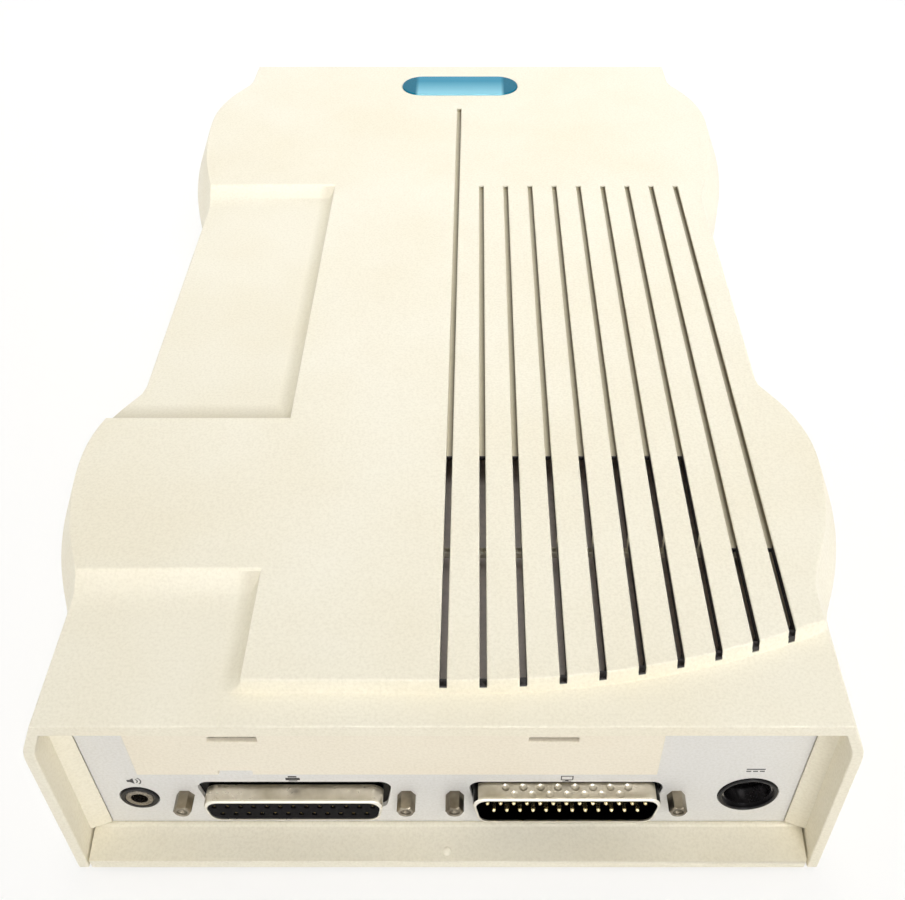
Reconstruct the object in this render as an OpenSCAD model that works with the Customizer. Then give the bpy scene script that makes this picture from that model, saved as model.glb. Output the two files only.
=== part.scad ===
// External disc writer: a lobed two-piece plastic case round a half-height disc drive, with an
// interface board behind a sheet-metal connector panel.
// +Z is up, +Y points to the disc tray and +X is to the right seen from the connector side.
// The origin lies under the middle of the case, on the plane that the feet stand on. Millimetres.
// Distances called "from the rear rim" run along +Y, heights "above the case" start at its underside.

/* [Case] */
// Length of the case from the rear rim to the front rim
body_l = 277; // [272:1:290]
// Width across the side walls at their foot, without the lobes
body_w = 160.6; // [160:0.2:168]
// Height of the case without its feet, to the raised top
body_h = 58.4; // [58:0.2:66]
// Thickness of the side walls
wall = 2.3; // [1.8:0.1:2.5]
// Thickness of the roof under the sunk areas of the top
roof_t = 3.2; // [2.4:0.1:3.5]
// Thickness of the raised top over its hollow underside
plateau_t = 2.8; // [2.2:0.1:3]
// Thickness of the front wall of the upper shell
front_t = 2.5; // [2:0.1:3]
// Thickness of the floor of the lower shell
floor_t = 3; // [2.6:0.1:4]
// Inward lean of the side walls for each mm of height
wall_lean = 0.02; // [0:0.005:0.03]
// Height of the leaning shoulder under the top edge
shoulder_h = 14.9; // [12:0.1:18]
// Lean of the shoulder from upright, in degrees
shoulder_a = 23; // [12:1:26]
// Radius where the shoulder leaves the wall
shoulder_r = 12; // [8:1:20]
// Gap between the two shells of the case
shell_gap = 0.3; // [0.1:0.05:0.5]
// Height of the lower shell's upstand above its floor
upstand_h = 8; // [5:0.5:10]
// Thickness of the upstand
upstand_t = 1.8; // [1.2:0.1:2]

/* [Feet] */
// Height of the feet below the case
foot_h = 1.5; // [0.5:0.1:6]
// Radius of a foot
foot_r = 7; // [5:0.5:9]
// Depth of a foot's seat in the floor
foot_sink = 0.8; // [0.4:0.1:1.2]
// Sideways place of the feet
foot_x = 60; // [50:1:64]
// Distance of the feet from the front and rear rims
foot_in = 24; // [20:1:40]

/* [Side lobes] */
// How far the lobes stand out from the side walls
lobe_rise = 9.3; // [8.5:0.1:12]
// Start of the rear lobe from the rear rim
rear_lobe_from = 33; // [30:1:40]
// Crown of the rear lobe from the rear rim
rear_lobe_crown = 69; // [66:1:72]
// End of the rear lobe from the rear rim
rear_lobe_to = 94; // [92:1:100]
// Start of the front lobe from the front rim
front_lobe_from = 92; // [82:1:102]
// Crown of the front lobe from the front rim
front_lobe_crown = 42; // [39:1:47]
// End of the front lobe from the front rim
front_lobe_to = 15; // [13:1:19]

/* [Top relief] */
// Height of the raised top over the sunk areas
top_step = 2.9; // [2:0.1:3.4]
// Inner wall of the sunk areas, left of the centre line
recess_x = 37.7; // [30:0.1:50]
// Rear end of the middle recess from the rear rim
recess_near = 81.6; // [76:0.1:90]
// Top of the ramp at the front of the middle recess, from the front rim
recess_far = 86; // [77:1:107]
// Top of the ramp in front of the rear recess, from the rear rim
rear_recess_far = 35.5; // [30:0.5:45]
// Length of the hollow ramps
ramp_l = 9; // [6:0.5:12]
// Width of the hollow at the foot of the other recess walls
cove_w = 4; // [3:0.5:6]
// Rear edge of the raised top from the rear rim
plateau_rear = 8.2; // [6:0.1:12]
// Place right of the centre line where that edge starts to curve forward
plateau_arc_x = 5; // [0:1:15]
// Radius of the curved edge
plateau_arc_r = 177; // [150:1:220]
// Lean of that edge over the whole step
edge_lean = 1; // [0.4:0.1:2]

/* [Slots] */
// Number of slots, the first on the centre line
slot_count = 10; // [6:1:10]
// Distance between slots
slot_pitch = 7.5; // [5:0.1:7.6]
// Width of a slot
slot_w = 1.35; // [0.8:0.05:2]
// Front end of the slots from the front rim
slot_far = 87; // [77:1:127]
// Front end of the long first slot from the front rim
long_slot_far = 34; // [31:1:67]
// Depth of the blind stretch
groove_depth = 1.5; // [0.8:0.1:1.8]
// Front end of the open stretch from the rear rim
vent_far = 70; // [50:1:74]
// Front end of the open stretch of the outermost slots
short_vent_far = 42; // [30:1:60]
// Number of slots with the short open stretch
short_vents = 2; // [0:1:4]
// Rib that crosses under the open stretch, from the rear rim
bridge_at = 44; // [30:1:47]
// Width of the ribs under the raised top
bridge_w = 1.6; // [1.5:0.1:3]

/* [Badge] */
// Length of the oval badge
badge_l = 41; // [30:1:50]
// Width of the badge
badge_w = 14.7; // [8:0.1:16]
// Middle of the badge from the front rim
badge_at = 16.3; // [15:0.1:22]
// Thickness of the badge
badge_t = 0.9; // [0.6:0.1:1.4]
// Depth of its seat
badge_sink = 0.6; // [0.3:0.1:1]

/* [Rear panel] */
// Depth of the panel behind the rear rim
panel_in = 8.3; // [7.5:0.1:9]
// Thickness of the panel
panel_t = 1; // [0.8:0.1:1.5]
// Half of the panel's visible width, to the ribs that hold it
rib_x = 73.7; // [73:0.1:74]
// Depth of those ribs in front of the panel, at the side walls
rib_l = 2.2; // [1.5:0.1:4]
// Height of the sloping ledge on the floor in front of the panel
sill_h = 2; // [1:0.1:3]
// Height of the 25-way ports' centres above the case
port_h = 16.15; // [15.6:0.05:18]
// Sideways place of the socket port
female_x = -32.2; // [-34:0.1:-30]
// Sideways place of the pin port
male_x = 25.1; // [22:0.1:28]
// Distance between a port's two jackscrews
jack_pitch = 47.04; // [46:0.01:49]
// How far the port shells stand out of the panel
port_out = 3.8; // [3.6:0.1:6]
// Sideways place of the sound socket
audio_x = -65.7; // [-67:0.1:-64]
// Height of the sound socket above the case
audio_h = 15.2; // [15:0.1:18]
// Sideways place of the power socket
power_x = 63.9; // [62:0.1:65]
// Height of the power socket above the case
power_h = 16.5; // [16.4:0.1:18]
// Radius of the power socket's rim
power_r = 6.3; // [5.8:0.1:6.6]

/* [Blank plate] */
// Left end of the plate that blanks the sound option
cover_x0 = -63.7; // [-68:0.1:-55]
// Right end of the plate
cover_x1 = 43.4; // [35:0.1:52]
// Lower edge of the plate above the case
cover_h0 = 26.3; // [23.6:0.1:28]
// Upper edge of the plate above the case
cover_h1 = 50; // [46:0.1:51]
// Thickness of the plate
cover_t = 1.2; // [0.8:0.1:2]

/* [Drive] */
// Width of the drive
drive_w = 146; // [144:0.1:146.6]
// Height of the drive
drive_h = 41.3; // [41:0.1:42]
// Length of the drive behind its front bezel
drive_l = 194; // [190:1:198]
// Height of the drive above the floor of the lower shell
drive_lift = 4; // [3:0.1:6]
// Thickness of the sheet metal
sheet_t = 1; // [0.8:0.1:1.2]
// Thickness of the front bezel
bezel_t = 5; // [4:0.1:6]
// Depth of the bezel behind the front rim
bezel_in = 2; // [1.8:0.1:3]
// How far the bezel reaches over the drive's edges
bezel_over = 1.2; // [0.5:0.1:1.6]
// Gap round the bezel in the case
bezel_gap = 0.4; // [0.2:0.1:0.8]

/* [Mechanism] */
// Radius of a disc
disc_r = 60; // [60:0.1:60]
// Height of the disc's seat above the underside of the drive
disc_h = 25.5; // [25:0.1:26]
// Distance from the disc's middle to the back of the bezel
disc_in = 68; // [67:0.5:72]
// Travel of the tray
tray_travel = 130; // [100:1:134]
// Half width of the tray
tray_hw = 64.5; // [63:0.1:65]
// Running gap of the tray in its rails
rail_gap = 0.3; // [0.2:0.05:0.4]
// Pitch radius of the loading gear
gear_r = 10; // [9:0.5:11]
// Teeth of the loading gear
gear_teeth = 20; // [16:1:24]
// Radius of the turntable
turntable_r = 15; // [12:0.5:16]
// Travel of the optical sled
sled_travel = 35; // [25:1:36]
// Radius of the sled's guide rods
rod_r = 1.5; // [1:0.1:2]
// Running clearance of shafts in their bores
run_gap = 0.05; // [0.02:0.01:0.08]
// Fall of the deck's front end, in degrees
deck_tilt = 2.8; // [1:0.1:3]
// Travel of the lift slider
lift_travel = 24; // [15:1:26]
// Travel of the eject button
eject_travel = 1; // [0.5:0.1:1.2]
// Radius of the volume wheel
wheel_r = 8; // [6:0.5:9]

/* [Hidden] */
$fn = 48;
eps = 0.01;

ivory = "#f7f0da";
cream = "#f2e6d2";
panel_grey = "#c3cbcb";
black = "#1c1c1e";
steel = "#b9bcbe";
dark_grey = "#4a4c4e";
board_green = "#2f6b45";

// Planes of the case
rear_y = -body_l / 2;
front_y = body_l / 2;
base_z = foot_h;
top_z = base_z + body_h;
sunk_z = top_z - top_step;
ceiling_h = body_h - top_step - roof_t;
ceiling_z = base_z + ceiling_h;
floor_z = base_z + floor_t;
shoulder_z = body_h - shoulder_h;
upstand_z = floor_z + upstand_h;
// What is set from the front rim, counted from the rear rim
front_lobe = [body_l - front_lobe_from, body_l - front_lobe_crown, body_l - front_lobe_to];
recess_end = body_l - recess_far;
slot_end = body_l - slot_far;
long_slot_end = body_l - long_slot_far;
cut_over = 1;

// Outline of the case: half its width at a distance from the rear rim and a height above the case
lobe_blend = 1.6;
station = 3;
lobe_lead = 5;
function bow(d, run, rise) =
    let (r = (run * run + rise * rise) / (2 * rise))
    (d < r ? sqrt(r * r - d * d) : 0) - (r - rise);
function lobe(s, from, crown, to) =
    s < crown ? bow(crown - s, crown - from, lobe_rise) : bow(s - crown, to - crown, lobe_rise);
function both_lobes(s) =
    max(lobe(s, rear_lobe_from, rear_lobe_crown, rear_lobe_to),
        lobe(s, front_lobe[0], front_lobe[1], front_lobe[2]));
function bulge(s) =
    let (b = both_lobes(s))
    (b + sqrt(b * b + lobe_blend * lobe_blend)) / 2;
shoulder_arc_h = shoulder_r * sin(shoulder_a);
function shoulder(h) =
    let (rise = h - shoulder_z)
    rise <= 0 ? 0
    : rise <= shoulder_arc_h ? shoulder_r - sqrt(shoulder_r * shoulder_r - rise * rise)
    : shoulder_r * (1 - cos(shoulder_a)) + (rise - shoulder_arc_h) * tan(shoulder_a);
function half_width(s, h) = body_w / 2 + bulge(s) - wall_lean * min(h, shoulder_z) - shoulder(h);
stations = concat(
    [for (s = [rear_lobe_from - lobe_lead : station : rear_lobe_to + lobe_lead]) s],
    [for (s = [front_lobe[0] - lobe_lead : station : front_lobe[2] + lobe_lead]) s]);
shoulder_steps = 3;
shoulder_heights = [for (k = [0 : shoulder_steps]) shoulder_z + shoulder_r * sin(shoulder_a * k / shoulder_steps)];
function stops(s_from, s_to) =
    concat([s_from], [for (s = stations) if (s > s_from + 1 && s < s_to - 1) s], [s_to]);
function ring_points(inset, at, h) =
    let (n = len(at))
    [for (k = [0 : 2 * n - 1])
        let (s = k < n ? at[k] : at[2 * n - 1 - k], x = half_width(s, h) - inset)
        [k < n ? x : -x, rear_y + s]];

// Solid of the case's form, drawn in by an inset, between two stations and through the given heights
module case_loft(inset, s_from, s_to, heights) {
    at = stops(s_from, s_to);
    ring = 2 * len(at);
    top = (len(heights) - 1) * ring;
    points = [for (h = heights) for (p = ring_points(inset, at, h)) [p[0], p[1], base_z + h]];
    sides = [for (j = [0 : len(heights) - 2]) for (k = [0 : ring - 1]) for (half = [0, 1])
        let (a = j * ring + k, b = j * ring + (k + 1) % ring)
        half == 0 ? [a, a + ring, b] : [b, a + ring, b + ring]];
    strips = [0 : len(at) - 2];
    bottom_faces = [for (k = strips) [k, k + 1, ring - 2 - k, ring - 1 - k]];
    top_faces = [for (k = strips) [top + ring - 1 - k, top + ring - 2 - k, top + k + 1, top + k]];
    polyhedron(points, concat(sides, bottom_faces, top_faces));
}
module case_outline(inset, s_from, s_to) {
    polygon(ring_points(inset, stops(s_from, s_to), upstand_z - base_z));
}

// Plain shapes by their limits
module block(x, y, z) {
    translate([x[0], y[0], z[0]]) cube([x[1] - x[0], y[1] - y[0], z[1] - z[0]]);
}
module post(x, y, z0, z1, r) {
    translate([x, y, z0]) cylinder(h = z1 - z0, r = r);
}
module rod_y(x, z, y0, y1, r) {
    translate([x, y0, z]) rotate([-90, 0, 0]) cylinder(h = y1 - y0, r = r);
}
module rod_x(y, z, x0, x1, r) {
    translate([x0, y, z]) rotate([0, 90, 0]) cylinder(h = x1 - x0, r = r);
}
// Profile in X and Z, drawn out along +Y from y0
module along_y(y0, length) {
    translate([0, y0 + length, 0]) rotate([90, 0, 0]) linear_extrude(length) children();
}
// Profile in Y and Z, drawn out along +X from x0
module along_x(x0, length) {
    translate([x0, 0, 0]) rotate([90, 0, 90]) linear_extrude(length) children();
}

// Relief of the top
far_out = body_w;
relief_h = top_step + cut_over;
function cove_r(run) = (run * run + top_step * top_step) / (2 * top_step);
// Flat-bottomed profile with a hollow at either end; a run of 0 leaves that end square
module trough(from, to, run_from, run_to) {
    translate([from + run_from, 0]) square([to - from - run_from - run_to, relief_h]);
    if (run_from > 0)
        translate([from + run_from, cove_r(run_from)]) circle(cove_r(run_from));
    if (run_to > 0)
        translate([to - run_to, cove_r(run_to)]) circle(cove_r(run_to));
}
module left_recess(s_from, s_to, run_from) {
    intersection() {
        translate([0, rear_y, sunk_z]) along_x(-far_out, far_out) trough(s_from, s_to, run_from, ramp_l);
        translate([0, 0, sunk_z]) along_y(rear_y - far_out, 2 * body_l) trough(-far_out, -recess_x, 0, cove_w);
    }
}
arc_centre_y = rear_y + plateau_rear + plateau_arc_r;
module rear_step() {
    from_x = -recess_x - cove_w + 0.6;
    translate([0, rear_y, sunk_z]) along_x(from_x, plateau_arc_x - from_x)
        polygon([[-cut_over, 0], [plateau_rear - edge_lean, 0], [plateau_rear, top_step],
            [plateau_rear, relief_h], [-cut_over, relief_h]]);
    over = cut_over / top_step;
    difference() {
        block([plateau_arc_x - eps, far_out], [rear_y - cut_over, rear_y + rear_lobe_crown], [sunk_z, sunk_z + relief_h]);
        translate([plateau_arc_x, arc_centre_y, sunk_z])
            cylinder(h = relief_h, r1 = plateau_arc_r + edge_lean, r2 = plateau_arc_r - edge_lean * over, $fn = 200);
    }
}

// Slots of the top
slot_lip = 1.5;
vent_depth = top_step + 1.3;
function edge_at(x) =
    x < plateau_arc_x ? plateau_rear
    : plateau_rear + plateau_arc_r - sqrt(pow(plateau_arc_r, 2) - pow(x - plateau_arc_x, 2));
module slot_cut(x, s_from, s_to, depth) {
    block([x - slot_w / 2, x + slot_w / 2], [rear_y + s_from, rear_y + s_to], [top_z - depth, top_z + cut_over]);
}
module slots() {
    for (i = [0 : slot_count - 1]) {
        x = i * slot_pitch;
        edge = edge_at(x);
        open_to = i < slot_count - short_vents ? vent_far : short_vent_far;
        slot_cut(x, edge - 2 * edge_lean, edge + 2 * slot_lip, groove_depth);
        slot_cut(x, edge + slot_lip, open_to, vent_depth);
        slot_cut(x, edge + slot_lip, i == 0 ? long_slot_end : slot_end, groove_depth);
    }
}
// Hollows under the raised top, with ribs left between them
hollow_edge = 3.2;
hollow_x = half_width(0, body_h) - wall - hollow_edge;
module hollow(x, s) {
    block(x, [rear_y + s[0], rear_y + s[1]], [ceiling_z - cut_over, top_z - plateau_t]);
}
module hollows() {
    inner = [-recess_x + hollow_edge, hollow_x];
    left = [-hollow_x, -recess_x - bridge_w + hollow_edge];
    behind = [plateau_rear + hollow_edge, bridge_at - bridge_w / 2];
    hollow([inner[0], plateau_arc_x], behind);
    intersection() {
        hollow([plateau_arc_x - eps, inner[1]], behind);
        translate([plateau_arc_x, arc_centre_y, 0])
            cylinder(h = 2 * body_h, r = plateau_arc_r - hollow_edge, $fn = 200);
    }
    hollow(inner, [bridge_at + bridge_w / 2, recess_near - bridge_w]);
    hollow(inner, [recess_near, recess_end - bridge_w]);
    hollow(left, [rear_recess_far + hollow_edge, recess_near - hollow_edge]);
    hollow([-hollow_x, hollow_x], [recess_end + hollow_edge, body_l - front_t - hollow_edge]);
}

// Oval of the badge
module badge_oval(z0, z1, gap) {
    r = badge_w / 2 + gap;
    y = front_y - badge_at;
    run = badge_l / 2 - badge_w / 2;
    block([-run, run], [y - r, y + r], [z0, z1]);
    for (x = [-run, run])
        post(x, y, z0, z1, r);
}

// Case screws stand in the lobes
screw_r = 1.25;
head_r = 2.9;
head_h = 1.6;
boss_r = 4;
boss_x = body_w / 2 + 0.2;
screw_spots = [for (x = [-boss_x, boss_x]) for (s = [rear_lobe_crown - 1, front_lobe[1] - 3]) [x, rear_y + s]];
screw_l = 12;
head_gap = 0.3;

// Drive in the case
drive_z = floor_z + drive_lift;
lid_z = drive_z + drive_h;
bezel_y1 = front_y - bezel_in;
bezel_y = bezel_y1 - bezel_t;
drive_y = bezel_y - drive_l;
bezel_hw = drive_w / 2 + bezel_over;
bezel_z = [drive_z - bezel_over / 2, lid_z + bezel_over / 2];
drive_hole_x = 69.85;
drive_hole_near = 47.4;
drive_hole_far = 126.6;
drive_hole_ys = [bezel_y - drive_hole_near, bezel_y - drive_hole_far];
drive_holes = [for (x = [-drive_hole_x, drive_hole_x]) for (y = drive_hole_ys) [x, y]];
drive_post_r = 4;

// Ribs that hold the rear panel, slanted from its edge to the side wall, seen from above on the right
rib_tip = 0.5;
rib_run = 4.4;
module rib_plan() {
    reach = body_w / 2;
    polygon([[rib_x, panel_y], [rib_x, panel_y - rib_tip], [rib_x + rib_run, panel_y - rib_l],
        [reach, panel_y - rib_l], [reach, panel_y]]);
}
back_rib = [rib_x + 0.6, 2];
panel_y = rear_y + panel_in;
panel_back = panel_y + panel_t;
panel_play = 0.1;
panel_hw = rib_x + 1.7;

module top_shell() {
    heights = concat([0], shoulder_heights, [body_h]);
    cavity = concat([-cut_over], shoulder_heights, [ceiling_h]);
    rib_z = floor_z + sill_h + shell_gap;
    back_rib_z = upstand_z + shell_gap;
    color(ivory) {
        difference() {
            union() {
                difference() {
                    case_loft(0, 0, body_l, heights);
                    case_loft(wall, -cut_over, body_l - front_t, cavity);
                }
                intersection() {
                    case_loft(wall / 2, 0.5, body_l - front_t / 2, heights);
                    union() {
                        for (side = [0, 1])
                            mirror([side, 0, 0]) {
                                translate([0, 0, rib_z]) linear_extrude(ceiling_z - rib_z + 1) rib_plan();
                                block([back_rib[0], body_w / 2], [panel_back + panel_play, panel_back + panel_play + back_rib[1]],
                                    [back_rib_z, ceiling_z + 1]);
                            }
                        for (p = screw_spots)
                            post(p[0], p[1], floor_z + shell_gap, ceiling_z + 1, boss_r);
                    }
                }
            }
            left_recess(recess_near, recess_end, cove_w);
            left_recess(-far_out, rear_recess_far, 0);
            rear_step();
            hollows();
            slots();
            badge_oval(top_z - badge_sink, top_z + cut_over, 0.1);
            block([-bezel_hw - bezel_gap, bezel_hw + bezel_gap], [front_y - front_t - cut_over, front_y + cut_over],
                [base_z - cut_over, bezel_z[1] + bezel_gap]);
            for (p = screw_spots)
                post(p[0], p[1], base_z, floor_z + screw_l, screw_r + run_gap);
        }
    }
}

board_t = 1.6;
port_z = base_z + port_h;
port_rise = 7.2;
board_top = port_z - port_rise;
// Board headers stand a loop of cable away from the drive
loop_r = 6;
loop_over = 5.3;
drive_plug_l = 9;
ribbon_y = drive_y - 1 - drive_plug_l;
loop_y = ribbon_y - loop_r - 1;
header_y = loop_y - 2 * loop_over;
header_front = 22.9;
board_y = [panel_back + 2.5, header_y + header_front];
board_hw = 71;
board_spots = [for (x = [-66, 66]) for (y = [board_y[0] + 18.5, board_y[1] - 5]) [x, y]];
board_post_r = 3;
board_screw_r = 1;

module bottom_shell() {
    inset = wall + shell_gap;
    front_end = body_l - front_t - shell_gap;
    lip_hw = bezel_hw + bezel_gap - shell_gap;
    upstand_from = panel_in + shell_gap;
    ledge_hw = half_width(0, upstand_z - base_z) - inset;
    ledge_edge = 0.6;
    sill_t = 0.9;
    color(ivory) difference() {
        union() {
            translate([0, 0, base_z]) linear_extrude(floor_t) case_outline(inset, 0, front_end);
            translate([0, 0, floor_z - eps]) linear_extrude(upstand_h + eps) difference() {
                case_outline(inset, upstand_from, front_end);
                case_outline(inset + upstand_t, -cut_over, front_end + cut_over);
            }
            block([-lip_hw, lip_hw], [front_y - front_t - shell_gap - eps, front_y], [base_z, bezel_z[0] - bezel_gap]);
            along_x(-ledge_hw, 2 * ledge_hw) polygon([[panel_y, floor_z - eps], [panel_y, floor_z + sill_h],
                [panel_y - sill_t, floor_z + sill_h], [panel_y - 1.5 * sill_t, floor_z + sill_h - sill_t / 2],
                [rear_y + ledge_edge, floor_z], [rear_y + ledge_edge, floor_z - eps]]);
            block([-rib_x - 1, rib_x + 1], [panel_back + panel_play, panel_back + 2], [floor_z - eps, floor_z + sill_h]);
            for (p = drive_holes)
                post(p[0], p[1], floor_z - eps, drive_z, drive_post_r);
            for (p = board_spots)
                post(p[0], p[1], floor_z - eps, board_top - board_t, board_post_r);
        }
        for (p = concat(screw_spots, drive_holes)) {
            post(p[0], p[1], base_z - cut_over, drive_z + cut_over, screw_r + head_gap);
            post(p[0], p[1], base_z - cut_over, base_z + head_h + 0.1, head_r + head_gap);
        }
        for (p = board_spots)
            post(p[0], p[1], floor_z, board_top, board_screw_r + run_gap);
        for (x = [-foot_x, foot_x])
            for (y = [rear_y + foot_in, front_y - foot_in])
                post(x, y, base_z - cut_over, base_z + foot_sink, foot_r + 0.1);
    }
}

module badge() {
    color("#2a8cb0") badge_oval(top_z - badge_sink, top_z - badge_sink + badge_t, 0);
}

module feet() {
    color(dark_grey) for (x = [-foot_x, foot_x])
        for (y = [rear_y + foot_in, front_y - foot_in])
            translate([x, y, 0]) rotate_extrude()
                polygon([[0, 0], [foot_r - 0.8, 0], [foot_r, 0.6], [foot_r, foot_h + foot_sink], [0, foot_h + foot_sink]]);
}

// Pan-head screw from below, with a cross recess in its head
module screw_up(p, z, length) {
    difference() {
        union() {
            post(p[0], p[1], z, z + head_h, head_r);
            post(p[0], p[1], z, z + head_h + length, screw_r);
        }
        for (turn = [0, 90])
            translate([p[0], p[1], z]) rotate([0, 0, turn]) cube([3, 0.7, 1.8], center = true);
    }
}
module case_screws() {
    color(steel) for (p = screw_spots)
        screw_up(p, base_z + 0.1, floor_t + screw_l - head_h - 1);
}
module drive_screws() {
    color(steel) for (p = drive_holes)
        screw_up(p, base_z + 0.1, drive_z - base_z + sheet_t + 0.7 - head_h);
}

// Shape of a 25-way port, wide side up
module port_outline(w, h) {
    r = 2.4;
    slant = (h - 2 * r) * tan(10);
    hull() for (side = [-1, 1]) {
        translate([side * (w / 2 - r), h / 2 - r]) circle(r, $fn = 24);
        translate([side * (w / 2 - r - slant), -h / 2 + r]) circle(r, $fn = 24);
    }
}
socket_size = [37.4, 7.9];
plug_size = [39.2, 9.6];
port_wall = 0.6;
flange_size = [53, 12.5];
flange_t = 0.6;
port_block_l = 10;
contact_pitch = 2.77;
row_gap = 2.84;
contacts = concat([for (k = [0 : 12]) [(k - 6) * contact_pitch, row_gap / 2]],
    [for (k = [0 : 11]) [(k - 5.5) * contact_pitch, -row_gap / 2]]);
mouth_y = panel_y - port_out;
stud_r = 1.4;
stud_gap = 0.15;
module at_port(x) {
    translate([x, 0, port_z]) children();
}
module stud_spots() {
    for (x = [-jack_pitch / 2, jack_pitch / 2])
        translate([x, 0]) children();
}

module panel_outline() {
    corner_h = body_h - 15.5;
    top_h = ceiling_h - 0.6;
    slope = 4.6;
    polygon([[-panel_hw, floor_z], [panel_hw, floor_z], [panel_hw, base_z + corner_h],
        [panel_hw - slope, base_z + top_h], [-panel_hw + slope, base_z + top_h], [-panel_hw, base_z + corner_h]]);
}
window_in = 3;
module rear_panel() {
    port_gap = [1.6, 1.2];
    color(panel_grey) along_y(panel_y, panel_t) difference() {
        panel_outline();
        for (x = [female_x, male_x]) translate([x, port_z]) {
            port_outline(plug_size[0] + port_gap[0], plug_size[1] + port_gap[1]);
            stud_spots() circle(stud_r + stud_gap);
        }
        translate([audio_x, base_z + audio_h]) circle(sound_rim_r + 0.25);
        translate([power_x, base_z + power_h]) circle(power_r + 0.2);
        translate([cover_x0 + window_in, base_z + cover_h0 + window_in])
            square([cover_x1 - cover_x0 - 2 * window_in, cover_h1 - cover_h0 - 2 * window_in]);
    }
}

// Snap-in plate over the option window, with two slots for a blade and a notch to lift it by
module blank_plate() {
    slot = [9.8, 1.7];
    slot_h = 38.8;
    notch = [7, 1.6];
    notch_in = 17;
    rim = 1.5;
    rim_in = window_in + 0.2;
    cover = [cover_x1 - cover_x0, cover_h1 - cover_h0];
    color(cream) difference() {
        union() {
            block([cover_x0, cover_x1], [panel_y - cover_t, panel_y], [base_z + cover_h0, base_z + cover_h1]);
            block([cover_x0 + rim_in, cover_x1 - rim_in], [panel_y - eps, panel_back + 1],
                [base_z + cover_h0 + rim_in, base_z + cover_h1 - rim_in]);
        }
        block([cover_x0 + notch_in, cover_x0 + notch_in + notch[0]], [panel_y - cover_t - cut_over, panel_y + cut_over],
            [base_z + cover_h0 - cut_over, base_z + cover_h0 + notch[1]]);
        block([cover_x0 + rim_in + rim, cover_x1 - rim_in - rim], [panel_y, panel_back + 1 + cut_over],
            [base_z + cover_h0 + rim_in + rim, base_z + cover_h1 - rim_in - rim]);
        for (x = [cover_x0 + 21.6, cover_x1 - 21.9])
            block([x - slot[0] / 2, x + slot[0] / 2], [panel_y - cover_t - cut_over, panel_y + cut_over],
                [base_z + slot_h, base_z + slot_h + slot[1]]);
    }
}

// Pressed shell with its flange behind the panel
module port_shell(x, size) {
    color(steel) at_port(x) difference() {
        union() {
            along_y(mouth_y, panel_back - mouth_y + flange_t) port_outline(size[0], size[1]);
            along_y(panel_back, flange_t) square(flange_size, center = true);
        }
        along_y(mouth_y - cut_over, port_out + panel_t + flange_t + 2 * cut_over)
            port_outline(size[0] - 2 * port_wall, size[1] - 2 * port_wall);
        for (side = [-1, 1])
            rod_y(side * jack_pitch / 2, 0, panel_back - cut_over, panel_back + flange_t + cut_over, stud_r + stud_gap);
    }
}
// Moulded block that fills the shell up to a face and stands on the board behind the flange
module port_block(x, size, face_y, hole_r, hole_l) {
    back = panel_back + flange_t;
    fit = port_wall + 0.1;
    color(black) at_port(x) difference() {
        union() {
            along_y(face_y, back - face_y + eps) port_outline(size[0] - 2 * fit, size[1] - 2 * fit);
            block([-flange_size[0] / 2, flange_size[0] / 2], [back, back + port_block_l], [-port_rise, flange_size[1] / 2]);
        }
        for (c = contacts)
            rod_y(c[0], c[1], face_y - cut_over, face_y + hole_l, hole_r);
        for (side = [-1, 1])
            rod_y(side * jack_pitch / 2, 0, back - cut_over, back + 6, stud_r + stud_gap);
    }
}
module socket_port_shell() {
    port_shell(female_x, socket_size);
}
module socket_port_block() {
    port_block(female_x, socket_size, mouth_y + 0.2, 0.6, 5);
}
// Two staggered rows of pressed dimples, which grip a plug, in the top of the shell
dimple_r = 1.2;
dimple_depth = 0.35;
dimple_pitch = 3.65;
dimple_rows = [[8, 2.85], [7, 1.25]];
module pin_port_shell() {
    top = port_z + plug_size[1] / 2;
    difference() {
        port_shell(male_x, plug_size);
        for (row = dimple_rows) for (k = [0 : row[0] - 1])
            translate([male_x + (k - (row[0] - 1) / 2) * dimple_pitch, mouth_y + row[1], top + dimple_r - dimple_depth])
                sphere(dimple_r, $fn = 24);
    }
}
pin_r = 0.5;
pin_seat = 4;
pin_face = panel_y + 0.4;
module pin_port_block() {
    port_block(male_x, plug_size, pin_face, pin_r + run_gap, pin_seat);
}
module port_pins() {
    color("#d8c080") at_port(male_x) for (c = contacts) {
        rod_y(c[0], c[1], mouth_y + 1.2, pin_face + pin_seat, pin_r);
        translate([c[0], mouth_y + 1.2, c[1]]) sphere(pin_r, $fn = 24);
    }
}

// Hexagon jackscrews, tapped at their outer end
hex_r = 1.95;
jackscrew_l = 4.1;
tap_r = 1.1;
tap_l = 3.5;
module jackscrews() {
    color(steel) for (x = [female_x, male_x])
        at_port(x) for (side = [-1, 1]) difference() {
            union() {
                translate([side * jack_pitch / 2, panel_y, 0]) rotate([90, 0, 0]) cylinder(h = jackscrew_l, r = hex_r, $fn = 6);
                rod_y(side * jack_pitch / 2, 0, panel_y - eps, panel_back + flange_t + 5, stud_r);
            }
            rod_y(side * jack_pitch / 2, 0, panel_y - jackscrew_l - cut_over, panel_y - jackscrew_l + tap_l, tap_r);
        }
}

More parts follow.
